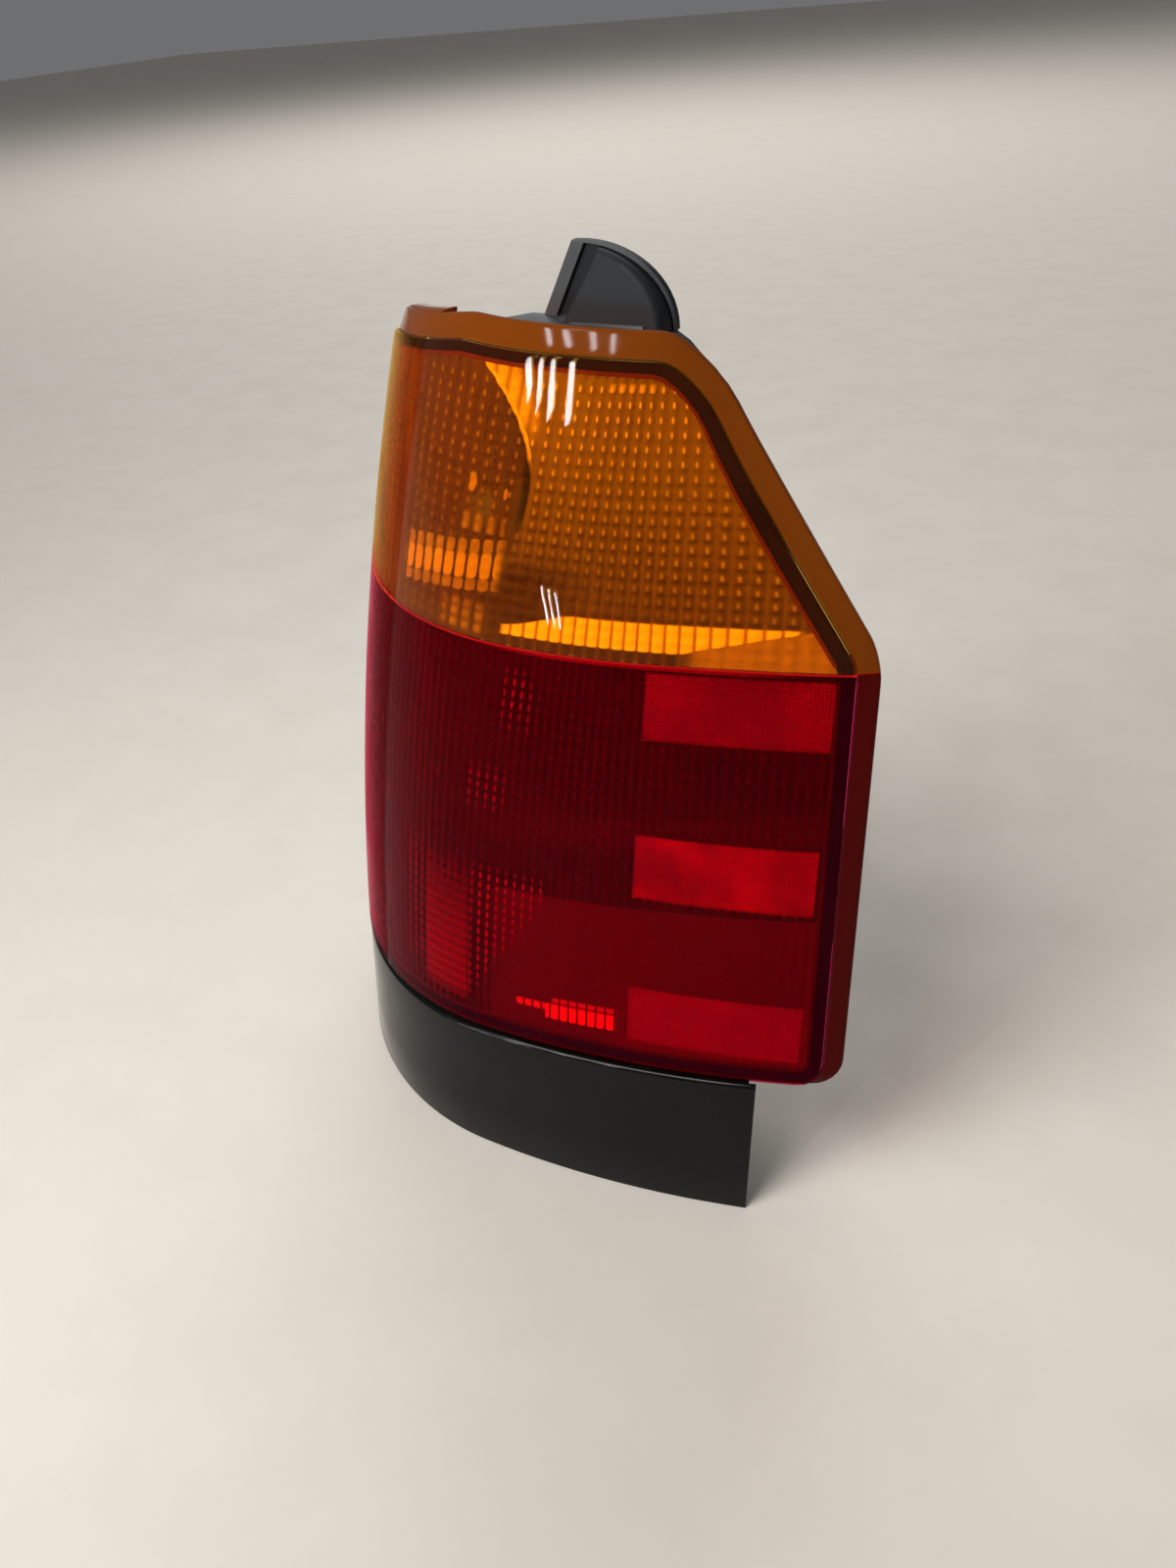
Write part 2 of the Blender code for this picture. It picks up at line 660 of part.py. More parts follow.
def make_housing():
    tray_side = lens_outline(TRAY_INSET)
    tray_inside = lens_outline(TRAY_INSET + TRAY_WALL)
    housing = body("housing", prism(bucket_outline(), APEX_Y, BACK_Y))
    everywhere = [Vector(p) for p in ((FACE_RADIUS * 0.6, -FAR), (FACE_RADIUS * 0.6, 2 * FAR),
                                      (-CORNER_RADIUS * 1.5, 2 * FAR), (-CORNER_RADIUS * 1.5, -FAR))]
    cut(housing, slab(everywhere, -120 * mm, TRAY_FLOOR - TRAY_FLOOR_WALL / 2))
    add(housing, slab(tray_side, TRAY_NEAR, TRAY_FLOOR), *hood())
    pad_x, pad_z = PAD_SIZE
    extras = [back_block(DATUM.x - pad_x / 2, DATUM.x + pad_x / 2,
                         DATUM.z - pad_z / 2, DATUM.z + pad_z / 2, PAD_HEIGHT)]
    for x, z in [*STUDS.values(), *LOCATORS.values()]:
        extras.append(rod(BOSS_RADIUS, BACK_Y - WALL / 2, BACK_Y + BOSS_HEIGHT, x, z))
    for x, z in VENTS.values():
        tip = BACK_Y + VENT_HEIGHT - 2 * VENT_CAP_WALL
        extras.append(rod(VENT_STUB, BACK_Y - WALL / 2, tip, x, z, SMALL_STEPS))
    for s in TRIM_SCREWS:
        place = trim_screw_place(s)
        extras.append(post(TRIM_BOSS_RADIUS, trim_boss_bottom(s), BUCKET_BOTTOM + WALL / 2, place.x, place.y))
    rib_left = DATUM.x + 0.8 * pad_x
    rib_right = BUCKET_RIGHT - 3 * WALL
    rib_span = LOCATORS["inboard_upper"][1] - LOCATORS["inboard_lower"][1] - 4 * BOSS_RADIUS
    for i in range(RIBS):
        z = LOCATORS["inboard_lower"][1] + 2 * BOSS_RADIUS + rib_span * i / (RIBS - 1)
        extras.append(back_block(rib_left, rib_right, z, z + RIB_THICK, RIB_HEIGHT))
    add(housing, *extras)
    cuts = [slab(tray_inside, -FAR / 10, TRAY_FLOOR - TRAY_FLOOR_WALL),
            prism(bucket_outline(WALL), -FAR, BACK_Y - WALL),
            prism(hood_outline(HOOD_RIM + HOOD_WALL, BUCKET_TOP + HOOD_WALL),
                  HOOD_FRONT + HOOD_CHAMFER + HOOD_WALL, HOOD_BACK + HOOD_WALL)]
    for z, _, _ in BULBS.values():
        cuts.append(rod(LUG_HOLE, BACK_Y - 4 * WALL, BACK_Y + 4 * WALL, BULB_X, z))
    for x, z in plate_screw_places():
        cuts.append(rod(SCREW_SHANK + GAP, BACK_Y - 4 * WALL, BACK_Y + 4 * WALL, x, z, SMALL_STEPS))
    for x, z in STUDS.values():
        cuts.append(rod(STUD_RADIUS + GAP, BACK_Y - GAP, BACK_Y + 2 * BOSS_HEIGHT, x, z, SMALL_STEPS))
    for x, z in LOCATORS.values():
        cuts.append(rod(LOCATOR_RADIUS + GAP, BACK_Y - GAP, BACK_Y + 2 * BOSS_HEIGHT, x, z, SMALL_STEPS))
    for x, z in VENTS.values():
        cuts.append(rod(VENT_BORE, BACK_Y - 4 * WALL, BACK_Y + 2 * VENT_HEIGHT, x, z, SCREW_STEPS))
    for s in TRIM_SCREWS:
        place = trim_screw_place(s)
        cuts.append(post(SCREW_SHANK + GAP, 0.0, BUCKET_BOTTOM - 1 * mm, place.x, place.y, SMALL_STEPS))
    cut(housing, *cuts)
    finish(housing, "black_moulding", (0.022, 0.023, 0.025), 0.5)


# Reflectors and divider

def bowl_solid(z, radius, mouth, wall):
    """Paraboloid body about a bulb's axis, grown by wall, open towards the lens."""
    spread = (radius * radius - BOWL_HOLE * BOWL_HOLE) / (BOWL_NECK_Y - mouth)
    rings = []
    front = mouth - 60 * mm
    for i in range(BOWL_STEPS + 1):
        y = BOWL_NECK_Y + (front - BOWL_NECK_Y) * (i / BOWL_STEPS) ** 1.4
        r = sqrt(BOWL_HOLE * BOWL_HOLE + spread * (BOWL_NECK_Y - y)) + wall
        rings.append([(BULB_X + r * cos(a), y, z + r * sin(a))
                      for a in [2 * pi * k / ROUND_STEPS for k in range(ROUND_STEPS)]])
    return loft(rings)


def bowl_bore(z, radius, mouth):
    """The space inside the bowl, carried on backwards through its neck."""
    return bowl_solid(z, radius, mouth, 0.0), rod(BOWL_HOLE, BOWL_NECK_Y - 4 * mm, FAR, BULB_X, z)


def reflector(name, low, high, bulbs):
    outline = lens_outline(TRAY_INSET + TRAY_WALL + SLACK)
    sheet = body(name, slab(outline, REFLECTOR_DEPTH, REFLECTOR_DEPTH + REFLECTOR_WALL))
    left, right = -CORNER_RADIUS * 1.6, FACE_RADIUS * 0.6
    side = [Vector(p) for p in ((right, -FAR), (right, 2 * FAR), (left, 2 * FAR), (left, -FAR))]
    window = [Vector((p[0], p[1])) for p in ((FAR, low), (FAR, high), (-2 * FAR, high), (-2 * FAR, low))]
    cups = []
    for key in bulbs:
        z, radius, mouth = BULBS[key]
        cup = cutter(bowl_solid(z, radius, mouth, REFLECTOR_WALL))
        cut(cup, slab(side, -200 * mm, REFLECTOR_DEPTH + REFLECTOR_WALL / 2))
        bm = bmesh.new()
        bm.from_mesh(cup.data)
        cups.append(bm)
    add(sheet, *cups)
    for key in bulbs:
        cut(sheet, *bowl_bore(*BULBS[key]))
    combine(sheet, "INTERSECT", prism(window, -FAR, FAR))
    return finish(sheet, "bright_metallising", (0.80, 0.80, 0.79), 0.18, 1.0)


def make_inside():
    above = COLOUR_LINE + DIVIDER_WALL / 2 + SLACK
    below = COLOUR_LINE - DIVIDER_WALL / 2 - SLACK
    reflector("upper_reflector", above, LENS_TOP, ["turn"])
    reflector("lower_reflector", 0.0, below, ["stop", "tail"])
    outline = lens_outline(TRAY_INSET + SEAL_WIDTH + SLACK)
    spans = [span_at(outline, COLOUR_LINE + side * DIVIDER_WALL) for side in (-1, 1)]
    left = max(span[0] for span in spans)
    right = min(span[1] for span in spans)
    sheet = box((left, LENS_WALL + SLACK, COLOUR_LINE - DIVIDER_WALL / 2),
                (right, TRAY_FLOOR - TRAY_FLOOR_WALL - SLACK, COLOUR_LINE + DIVIDER_WALL / 2))
    finish(body("chamber_divider", wrap(sheet)), "divider_white", (0.75, 0.75, 0.73), 0.4)


# Carrier plate, its gasket, screws and connector

GASKET_Y = BACK_Y + GAP
PLATE_Y = GASKET_Y + GASKET_WALL + GAP
PLATE_OUT = PLATE_Y + PLATE_WALL


def plate_screw_places():
    return [(x, z) for x in (PLATE_LEFT + PLATE_SCREW_INSET, PLATE_RIGHT - PLATE_SCREW_INSET)
            for z in (PLATE_BOTTOM + PLATE_SCREW_INSET, PLATE_TOP - PLATE_SCREW_INSET)]


def plate_outline(inset):
    corners = [(PLATE_RIGHT, PLATE_BOTTOM, PLATE_CORNER), (PLATE_RIGHT, PLATE_TOP, PLATE_CORNER),
               (PLATE_LEFT, PLATE_TOP, PLATE_CORNER), (PLATE_LEFT, PLATE_BOTTOM, PLATE_CORNER)]
    return rounded(inset_corners(corners, [inset] * 4))


def screw(name, place, along_y):
    """Pan-head screw with its head's underside at the origin and its shank running to negative Y."""
    head = SCREW_HEAD_HEIGHT
    obj = turned(name, [(0.0, head), (0.55 * SCREW_HEAD, head), (0.92 * SCREW_HEAD, 0.6 * head),
                        (SCREW_HEAD, 0.0), (SCREW_SHANK, 0.0), (SCREW_SHANK, -0.8 * SCREW_LENGTH),
                        (0.0, -SCREW_LENGTH)], SCREW_STEPS)
    cut(obj, box((-SCREW_SLOT / 2, 0.5 * head, -0.6 * SCREW_HEAD),
                 (SCREW_SLOT / 2, 2 * head, 0.6 * SCREW_HEAD)))
    if not along_y:
        obj.data.transform(Matrix.Rotation(-pi / 2, 4, "X"))
    return finish(obj, "zinc_plate", (0.62, 0.62, 0.60), 0.35, 1.0, place)


def screw_holes():
    return [rod(SCREW_SHANK + GAP, 0.0, FAR, x, z, SMALL_STEPS) for x, z in plate_screw_places()]


def make_gasket():
    gasket = body("carrier_gasket", prism(plate_outline(GASKET_INSET), GASKET_Y, GASKET_Y + GASKET_WALL))
    side = GASKET_INSET + GASKET_WIDTH
    end = 2 * PLATE_SCREW_INSET
    corner = 0.5 * PLATE_CORNER
    hole = [(x, z, corner) for x, z in ((PLATE_RIGHT - side, PLATE_BOTTOM + end),
                                        (PLATE_RIGHT - side, PLATE_TOP - end),
                                        (PLATE_LEFT + side, PLATE_TOP - end),
                                        (PLATE_LEFT + side, PLATE_BOTTOM + end))]
    cut(gasket, prism(rounded(hole), 0.0, FAR), *screw_holes())
    finish(gasket, "foam_rubber", (0.03, 0.03, 0.032), 0.9)


def make_plate():
    plate = body("carrier_plate", prism(plate_outline(0.0), PLATE_Y, PLATE_OUT))
    for side in (PLATE_LEFT + 0.5 * PLATE_CORNER, PLATE_RIGHT - 0.5 * PLATE_CORNER):
        add(plate, box((side - RIB_THICK / 2, PLATE_Y + PLATE_WALL / 2, PLATE_BOTTOM + PLATE_RIB_INSET),
                       (side + RIB_THICK / 2, PLATE_OUT + RIB_HEIGHT, PLATE_TOP - PLATE_RIB_INSET)))
    for z, _, _ in BULBS.values():
        holes = [rod(SOCKET_RADIUS + SLACK, 0.0, FAR, BULB_X, z)]
        for i in range(LUGS):
            notch = box((-0.6 * LUG_WIDTH, 0.0, 0.0), (0.6 * LUG_WIDTH, FAR, LUG_REACH + SLACK))
            turn = Matrix.Rotation(2 * pi * i / LUGS + TWIST, 3, "Y")
            bmesh.ops.rotate(notch, verts=notch.verts, matrix=turn)
            bmesh.ops.translate(notch, verts=notch.verts, vec=(BULB_X, 0, z))
            holes.append(notch)
        cut(plate, *holes)
    cut(plate, *screw_holes())
    finish(plate, "grey_carrier", (0.16, 0.165, 0.17), 0.55)
    for i, (x, z) in enumerate(plate_screw_places()):
        screw(f"plate_screw_{i + 1}", (x, PLATE_OUT + GAP, z), True)


def make_connector():
    wide, tall, deep = HEADER
    near = PLATE_OUT + GAP
    left, right = BULB_X - wide / 2, BULB_X + wide / 2
    low, high = COLOUR_LINE - tall / 2, COLOUR_LINE + tall / 2
    header = body("connector_header", box((left, near, low), (right, near + deep, high)))
    wall = HEADER_WALL
    cut(header, box((left + wall, near + wall, low + wall), (right - wall, near + 2 * deep, high - wall)))
    add(header, box((BULB_X - HEADER_LATCH, near + 0.55 * deep, high - wall / 2),
                    (BULB_X + HEADER_LATCH, near + 0.85 * deep, high + wall)))
    finish(header, "black_connector", (0.02, 0.02, 0.022), 0.45)
    blade, thick, reach = PIN
    base = near + wall + GAP
    for i in range(PIN_COUNT):
        x = BULB_X + (i - (PIN_COUNT - 1) / 2) * PIN_PITCH
        pin = box((x - blade / 2, base, COLOUR_LINE - thick / 2),
                  (x + blade / 2, base + reach, COLOUR_LINE + thick / 2))
        finish(body(f"connector_pin_{i + 1}", pin), "tinned_brass", (0.75, 0.68, 0.50), 0.3, 1.0)


# Bulb holders: each piece is modelled about its own axis, with Y counted from the plate's outer face

SOCKET_FLANGE_NEAR = SOCKET_SEAL_WALL + 2 * GAP
SOCKET_FLANGE_FAR = SOCKET_FLANGE_NEAR + SOCKET_FLANGE_WALL
BASE_FRONT = BULB_BASE_FRONT - PLATE_OUT
BASE_BACK = BULB_BASE_BACK - PLATE_OUT


def make_socket(key, centre):
    front = SOCKET_FRONT - PLATE_OUT
    recess = BASE_BACK + GAP
    mouth = BULB_BASE_RADIUS + GAP
    neck = SOCKET_RADIUS - SOCKET_STEP
    lug_far = PLATE_Y - PLATE_OUT - SLACK
    lug_near = lug_far - LUG_WALL
    wide, deep, thick = GRIP
    hub = SOCKET_FLANGE_FAR + 0.5 * deep
    socket = turned(f"{key}_socket", [
        (0.0, hub), (neck, hub), (neck, SOCKET_FLANGE_FAR), (SOCKET_FLANGE, SOCKET_FLANGE_FAR - SLACK),
        (SOCKET_FLANGE, SOCKET_FLANGE_NEAR), (SOCKET_RADIUS, SOCKET_FLANGE_NEAR),
        (SOCKET_RADIUS, lug_near - SOCKET_STEP), (neck, lug_near - 2 * SOCKET_STEP), (neck, front),
        (mouth, front), (mouth, recess), (0.0, recess)])
    add(socket, box((-wide / 2, SOCKET_FLANGE_FAR - SLACK, -thick / 2),
                    (wide / 2, SOCKET_FLANGE_FAR + deep, thick / 2)))
    for i in range(LUGS):
        lug = box((-LUG_WIDTH / 2, lug_near, SOCKET_RADIUS - SOCKET_STEP),
                  (LUG_WIDTH / 2, lug_far, LUG_REACH))
        bmesh.ops.rotate(lug, verts=lug.verts, matrix=Matrix.Rotation(2 * pi * i / LUGS, 3, "Y"))
        add(socket, lug)
    finish(socket, "grey_holder", (0.30, 0.30, 0.29), 0.55, 0.0, centre)
    inner = SOCKET_RADIUS + SLACK
    outer = SOCKET_FLANGE - SOCKET_STEP
    far = GAP + SOCKET_SEAL_WALL
    seal = turned(f"{key}_socket_seal", [(inner, GAP), (inner, far), (outer, far), (outer, GAP)], SMALL_STEPS)
    finish(seal, "red_rubber", (0.30, 0.05, 0.03), 0.7, 0.0, centre)


def glass_arc(radius, ball, steps=6):
    """Profile of the glass ball from its tip round to its neck."""
    angles = [radians(140) * i / steps for i in range(steps + 1)]
    return [(radius * sin(a), ball - radius * cos(a)) for a in angles]


def make_bulb(key, centre):
    r = BULB_BASE_RADIUS
    base = turned(f"{key}_bulb_base", [(0.0, BASE_BACK), (0.9 * r, BASE_BACK), (r, BASE_BACK - 0.1 * r),
                                       (r, BASE_FRONT + 0.2 * r), (0.92 * r, BASE_FRONT), (0.0, BASE_FRONT)],
                  SMALL_STEPS)
    finish(base, "nickel_brass", (0.74, 0.70, 0.60), 0.25, 1.0, centre)
    root = BASE_FRONT - GAP
    stem = 0.62 * r
    ball = root - GLASS_LENGTH + GLASS_RADIUS
    neck = stem + GLASS_WALL
    outer = glass_arc(GLASS_RADIUS, ball) + [(neck, root - GLASS_NECK), (neck, root)]
    inner = [(stem, root), (stem, root - GLASS_NECK)] + glass_arc(GLASS_RADIUS - GLASS_WALL, ball)[::-1]
    glass = turned(f"{key}_bulb_glass", outer + inner, SMALL_STEPS)
    finish(glass, "bulb_glass", (0.9, 0.9, 0.9), 0.05, 0.0, centre)


def make_filament(key, centre):
    root = BASE_FRONT - GAP
    half = FILAMENT_HALF_SPAN
    tip = root - FILAMENT_HEIGHT
    shoulder = tip + 2 * FILAMENT_SWING
    coil = [(-half, root), (-half, shoulder)]
    for i in range(FILAMENT_TURNS):
        swing = FILAMENT_SWING if i % 2 else -FILAMENT_SWING
        coil.append((-half + 2 * half * (i + 0.5) / FILAMENT_TURNS, tip + swing))
    coil += [(half, shoulder), (half, root)]
    wire = bpy.data.curves.new(f"{key}_filament_wire", "CURVE")
    wire.dimensions = "3D"
    wire.bevel_depth = FILAMENT_WIRE
    wire.bevel_resolution = 0
    wire.use_fill_caps = True
    path = wire.splines.new("POLY")
    path.points.add(len(coil) - 1)
    for point, (x, y) in zip(path.points, coil):
        point.co = (x, y, 0.0, 1.0)
    guide = bpy.data.objects.new(f"{key}_filament_wire", wire)
    PARTS.objects.link(guide)
    graph = bpy.context.evaluated_depsgraph_get()
    mesh = bpy.data.meshes.new_from_object(guide.evaluated_get(graph))
    bpy.data.objects.remove(guide)
    bm = bmesh.new()
    bm.from_mesh(mesh)
    bmesh.ops.remove_doubles(bm, verts=bm.verts, dist=0.002 * mm)
    finish(body(f"{key}_filament", bm), "tungsten", (0.35, 0.34, 0.33), 0.4, 1.0, centre)


# Fixings on the back

def make_studs():
    reach = BOSS_HEIGHT + STUD_REACH
    for name, (x, z) in STUDS.items():
        stud = turned(name, [(0.0, reach), (0.7 * STUD_RADIUS, reach), (STUD_RADIUS, reach - STUD_POINT),
                             (STUD_RADIUS, 0.0), (0.0, 0.0)], SMALL_STEPS)
        finish(stud, "zinc_plate", (0.62, 0.62, 0.60), 0.35, 1.0, (x, BACK_Y, z))


def make_locators():
    reach = BOSS_HEIGHT + LOCATOR_REACH
    near = BOSS_HEIGHT + GAP
    far = near + GROMMET_WALL
    bore = LOCATOR_RADIUS + GAP
    waist = 0.8 * GROMMET_RADIUS
    for name, (x, z) in LOCATORS.items():
        pin = turned(f"locating_pin_{name}", [(0.0, reach), (0.45 * LOCATOR_RADIUS, reach - SLACK),
                                              (LOCATOR_RADIUS, reach - LOCATOR_POINT), (LOCATOR_RADIUS, 0.0),
                                              (0.0, 0.0)], SMALL_STEPS)
        finish(pin, "white_nylon", (0.75, 0.74, 0.70), 0.5, 0.0, (x, BACK_Y, z))
        grommet = turned(f"pin_grommet_{name}", [(bore, near), (bore, far), (0.9 * GROMMET_RADIUS, far),
                                                 (waist, far - GROMMET_LIP), (waist, near + GROMMET_LIP),
                                                 (GROMMET_RADIUS, near + 0.7 * GROMMET_LIP),
                                                 (GROMMET_RADIUS, near)], SMALL_STEPS)
        finish(grommet, "black_rubber", (0.02, 0.02, 0.02), 0.8, 0.0, (x, BACK_Y, z))


def make_vents():
    bore = VENT_STUB + GAP
    tip = VENT_HEIGHT - 2 * VENT_CAP_WALL + GAP
    top = tip + VENT_CAP_WALL
    skirt = 2 * mm
    for name, (x, z) in VENTS.items():
        cap = turned(name, [(0.0, top), (0.8 * VENT_RADIUS, top), (VENT_RADIUS, tip), (VENT_RADIUS, skirt),
                            (bore, skirt), (bore, tip), (0.0, tip)], SMALL_STEPS)
        finish(cap, "black_rubber", (0.02, 0.02, 0.02), 0.8, 0.0, (x, BACK_Y, z))


# Filler trim

def make_trim():
    left = -CORNER_RADIUS * WRAP_BOTTOM
    right = along(TRIM_RIGHT)
    far = TRIM_SET_BACK + TRIM_WALL
    lip = TRIM_HEIGHT - TRIM_LIP_DROP
    trim = body("filler_trim", box((left, TRIM_SET_BACK, 0.0), (right, far, TRIM_HEIGHT)))
    bevel = trim.modifiers.new("soft_edges", "BEVEL")
    bevel.width = TRIM_EDGE
    bevel.segments = 2
    bevel.limit_method = "ANGLE"
    bake(trim)
    inset = 3 * TRIM_EDGE
    root = far - 0.4 * TRIM_WALL
    foot = TRIM_LIP_DROP
    add(trim, box((left + inset, root, lip - TRIM_WALL), (right - inset, TRIM_LIP_REACH, lip)))
    add(trim, box((left + inset, root, foot), (right - inset, TRIM_FOOT_REACH, foot + TRIM_WALL)))
    for s in (left + inset, right - inset - TRIM_WALL):
        add(trim, box((s, root, foot + 0.4 * TRIM_WALL),
                      (s + TRIM_WALL, TRIM_FOOT_REACH, lip - 0.4 * TRIM_WALL)))
    for s in TRIM_SCREWS:
        cut(trim, post(SCREW_SHANK + TRIM_HOLE_SLACK, 0.5 * TRIM_HEIGHT, 2 * TRIM_HEIGHT, s, TRIM_SCREW_DEPTH,
                       SMALL_STEPS))
    for vert in trim.data.vertices:
        vert.co.z *= trim_top(vert.co.x) / TRIM_HEIGHT
    wrap_body(trim)
    finish(trim, "gloss_black", (0.012, 0.012, 0.014), 0.15)
    for i, s in enumerate(TRIM_SCREWS):
        under = (lip - TRIM_WALL) * trim_top(s) / TRIM_HEIGHT - SCREW_SEAT
        place = trim_screw_place(s)
        screw(f"trim_screw_{i + 1}", (place.x, place.y, under), False)


make_lens()
make_seal()
make_housing()
make_inside()
make_gasket()
make_plate()
make_connector()
for bulb, (height, _, _) in BULBS.items():
    axis = (BULB_X, PLATE_OUT, height)
    make_socket(bulb, axis)
    make_bulb(bulb, axis)
    make_filament(bulb, axis)
make_studs()
make_locators()
make_vents()
make_trim()
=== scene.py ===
import json
import math

import bmesh
import bpy
from mathutils import Matrix, Vector


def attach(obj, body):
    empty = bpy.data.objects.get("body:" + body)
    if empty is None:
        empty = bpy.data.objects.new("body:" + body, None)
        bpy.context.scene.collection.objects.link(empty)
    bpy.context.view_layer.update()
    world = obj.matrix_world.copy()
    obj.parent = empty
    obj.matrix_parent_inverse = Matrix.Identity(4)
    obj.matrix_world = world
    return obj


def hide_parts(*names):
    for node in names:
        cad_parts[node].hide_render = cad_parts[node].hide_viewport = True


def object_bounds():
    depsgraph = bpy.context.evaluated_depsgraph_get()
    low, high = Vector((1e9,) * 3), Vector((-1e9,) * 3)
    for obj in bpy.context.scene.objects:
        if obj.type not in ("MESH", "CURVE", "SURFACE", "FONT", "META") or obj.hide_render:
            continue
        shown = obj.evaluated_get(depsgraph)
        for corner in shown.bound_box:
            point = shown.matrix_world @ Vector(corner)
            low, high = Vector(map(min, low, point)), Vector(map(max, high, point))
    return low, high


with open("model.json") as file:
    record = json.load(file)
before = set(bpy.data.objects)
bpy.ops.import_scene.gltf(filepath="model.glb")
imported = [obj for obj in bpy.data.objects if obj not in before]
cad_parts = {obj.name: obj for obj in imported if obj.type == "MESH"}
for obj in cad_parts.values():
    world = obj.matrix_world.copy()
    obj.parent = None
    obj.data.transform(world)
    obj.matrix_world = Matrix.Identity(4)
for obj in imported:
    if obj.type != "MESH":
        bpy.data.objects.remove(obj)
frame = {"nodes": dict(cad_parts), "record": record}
nodes = frame["nodes"]
cadBox = [list(corner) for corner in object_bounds()]
scene = bpy.context.scene
mm = 0.001
mmPerMetre = 1000.0
mapShift = 0.25  # metres added along the face in the sheets' maps, so that no place there is negative
alongS = Vector((1, 0, 0))
upZ = Vector((0, 0, 1))
print("frame loaded with", len(nodes), "nodes")


# shader maths: a wire carries one socket, and plain expressions on wires add the nodes
class Wire:
    def __init__(self, finish, socket):
        self.finish = finish
        self.socket = socket

    def maths(self, operation, first, second):
        return self.finish.node("ShaderNodeMath", {"operation": operation}, {0: first, 1: second})

    def __add__(self, other):
        return self.maths("ADD", self, other)

    def __sub__(self, other):
        return self.maths("SUBTRACT", self, other)

    def __rsub__(self, other):
        return self.maths("SUBTRACT", other, self)

    def __mul__(self, other):
        return self.maths("MULTIPLY", self, other)

    def __truediv__(self, other):
        return self.maths("DIVIDE", self, other)

    def __pow__(self, other):
        return self.maths("POWER", self, other)

    def __abs__(self):
        return self.maths("ABSOLUTE", self, 0.0)

    __radd__ = __add__
    __rmul__ = __mul__


class Finish:
    def __init__(self, name):
        self.material = bpy.data.materials.new(name)
        self.material.use_nodes = True
        self.tree = self.material.node_tree
        self.shader = self.tree.nodes["Principled BSDF"]
        self.output = self.tree.nodes["Material Output"]

    def node(self, kind, settings=None, inputs=None, output=0):
        made = self.tree.nodes.new(kind)
        for key, value in (settings or {}).items():
            setattr(made, key, value)
        for key, value in (inputs or {}).items():
            self.plug(made.inputs[key], value)
        return Wire(self, made.outputs[output])

    def plug(self, socket, value):
        if isinstance(value, Wire):
            self.tree.links.new(value.socket, socket)
        elif hasattr(socket.default_value, "__len__") and len(value) < len(socket.default_value):
            socket.default_value = (*value, 1.0)
        else:
            socket.default_value = value

    def surface(self, **values):
        for key, value in values.items():
            self.plug(self.shader.inputs[key.replace("_", " ")], value)

    def place(self):
        return self.node("ShaderNodeTexCoord", output="Object")

    def noise(self, scale, detail=3.0, roughness=0.55, stretch=(1, 1, 1)):
        at = self.node("ShaderNodeMapping", None, {"Vector": self.place(), "Scale": stretch})
        return self.node("ShaderNodeTexNoise", None,
                         {"Vector": at, "Scale": scale, "Detail": detail, "Roughness": roughness}, "Fac")

    def ease(self, value, low, high, start=0.0, end=1.0):
        return self.node("ShaderNodeMapRange", {"interpolation_type": "SMOOTHSTEP"},
                         {"Value": value, "From Min": low, "From Max": high, "To Min": start, "To Max": end})

    def fract(self, value):
        return self.node("ShaderNodeMath", {"operation": "FRACT"}, {0: value})

    def most(self, first, second):
        return self.node("ShaderNodeMath", {"operation": "MAXIMUM"}, {0: first, 1: second})

    def window(self, value, low, high, soft):  # 1 between two limits, with soft edges
        return self.ease(value, low - soft, low + soft) * self.ease(value, high + soft, high - soft)

    def spot(self, s, z, at, size):  # 1 inside an oval
        spread = ((s - at[0]) / size[0]) ** 2.0 + ((z - at[1]) / size[1]) ** 2.0
        return self.ease(spread, 1.0, 0.35)

    # product of a mark's limits: a wire's name and two numbers (or four, with the ends) ease,
    # a name and three numbers make a window, and a number by itself is the mark's strength
    def mark(self, wires, limits, amount=None):
        for limit in limits:
            if isinstance(limit, float):
                part = limit
            else:
                name, *span = limit
                soften = self.window if len(span) == 3 else self.ease
                part = soften(wires[name], *span)
            amount = part if amount is None else amount * part
        return amount

    def onLens(self):  # millimetres along the face and up it, from the sheet's own map
        flat = self.node("ShaderNodeUVMap", {"uv_map": "face"})
        parts = self.node("ShaderNodeSeparateXYZ", None, {0: flat})
        up = Wire(self, parts.socket.node.outputs["Y"])
        return parts * mmPerMetre - mapShift * mmPerMetre, up * mmPerMetre

    def blend(self, amount, first, second):
        return self.node("ShaderNodeMix", {"data_type": "RGBA"}, {"Factor": amount, 6: first, 7: second}, 2)

    def bump(self, height, strength, distance):
        return self.node("ShaderNodeBump", None,
                         {"Height": height, "Strength": strength, "Distance": distance})

    def shadowThrough(self, tint):  # light passes the clear piece tinted, so what lies behind it is lit
        path = self.node("ShaderNodeLightPath", output="Is Shadow Ray")
        clear = self.node("ShaderNodeBsdfTransparent", None, {"Color": tint})
        body = Wire(self, self.shader.outputs["BSDF"])
        both = self.node("ShaderNodeMixShader", None, {0: path, 1: body, 2: clear})
        self.tree.links.new(both.socket, self.output.inputs["Surface"])


# the lamp's curved face: distance along it, depth behind it and height become a place in the frame
faceShape = {
    "faceRadius": 0.620, "cornerRadius": 0.165, "apexX": -0.160, "apexY": -0.023, "lean": 0.19,
    "sideTopShift": 0.05706, "sideFrom": 0.040, "sideTop": 0.459, "fadeStart": -0.020, "fadeEnd": 0.140,
    "datum": Vector((-0.070, 0.131037, 0.230)),
}


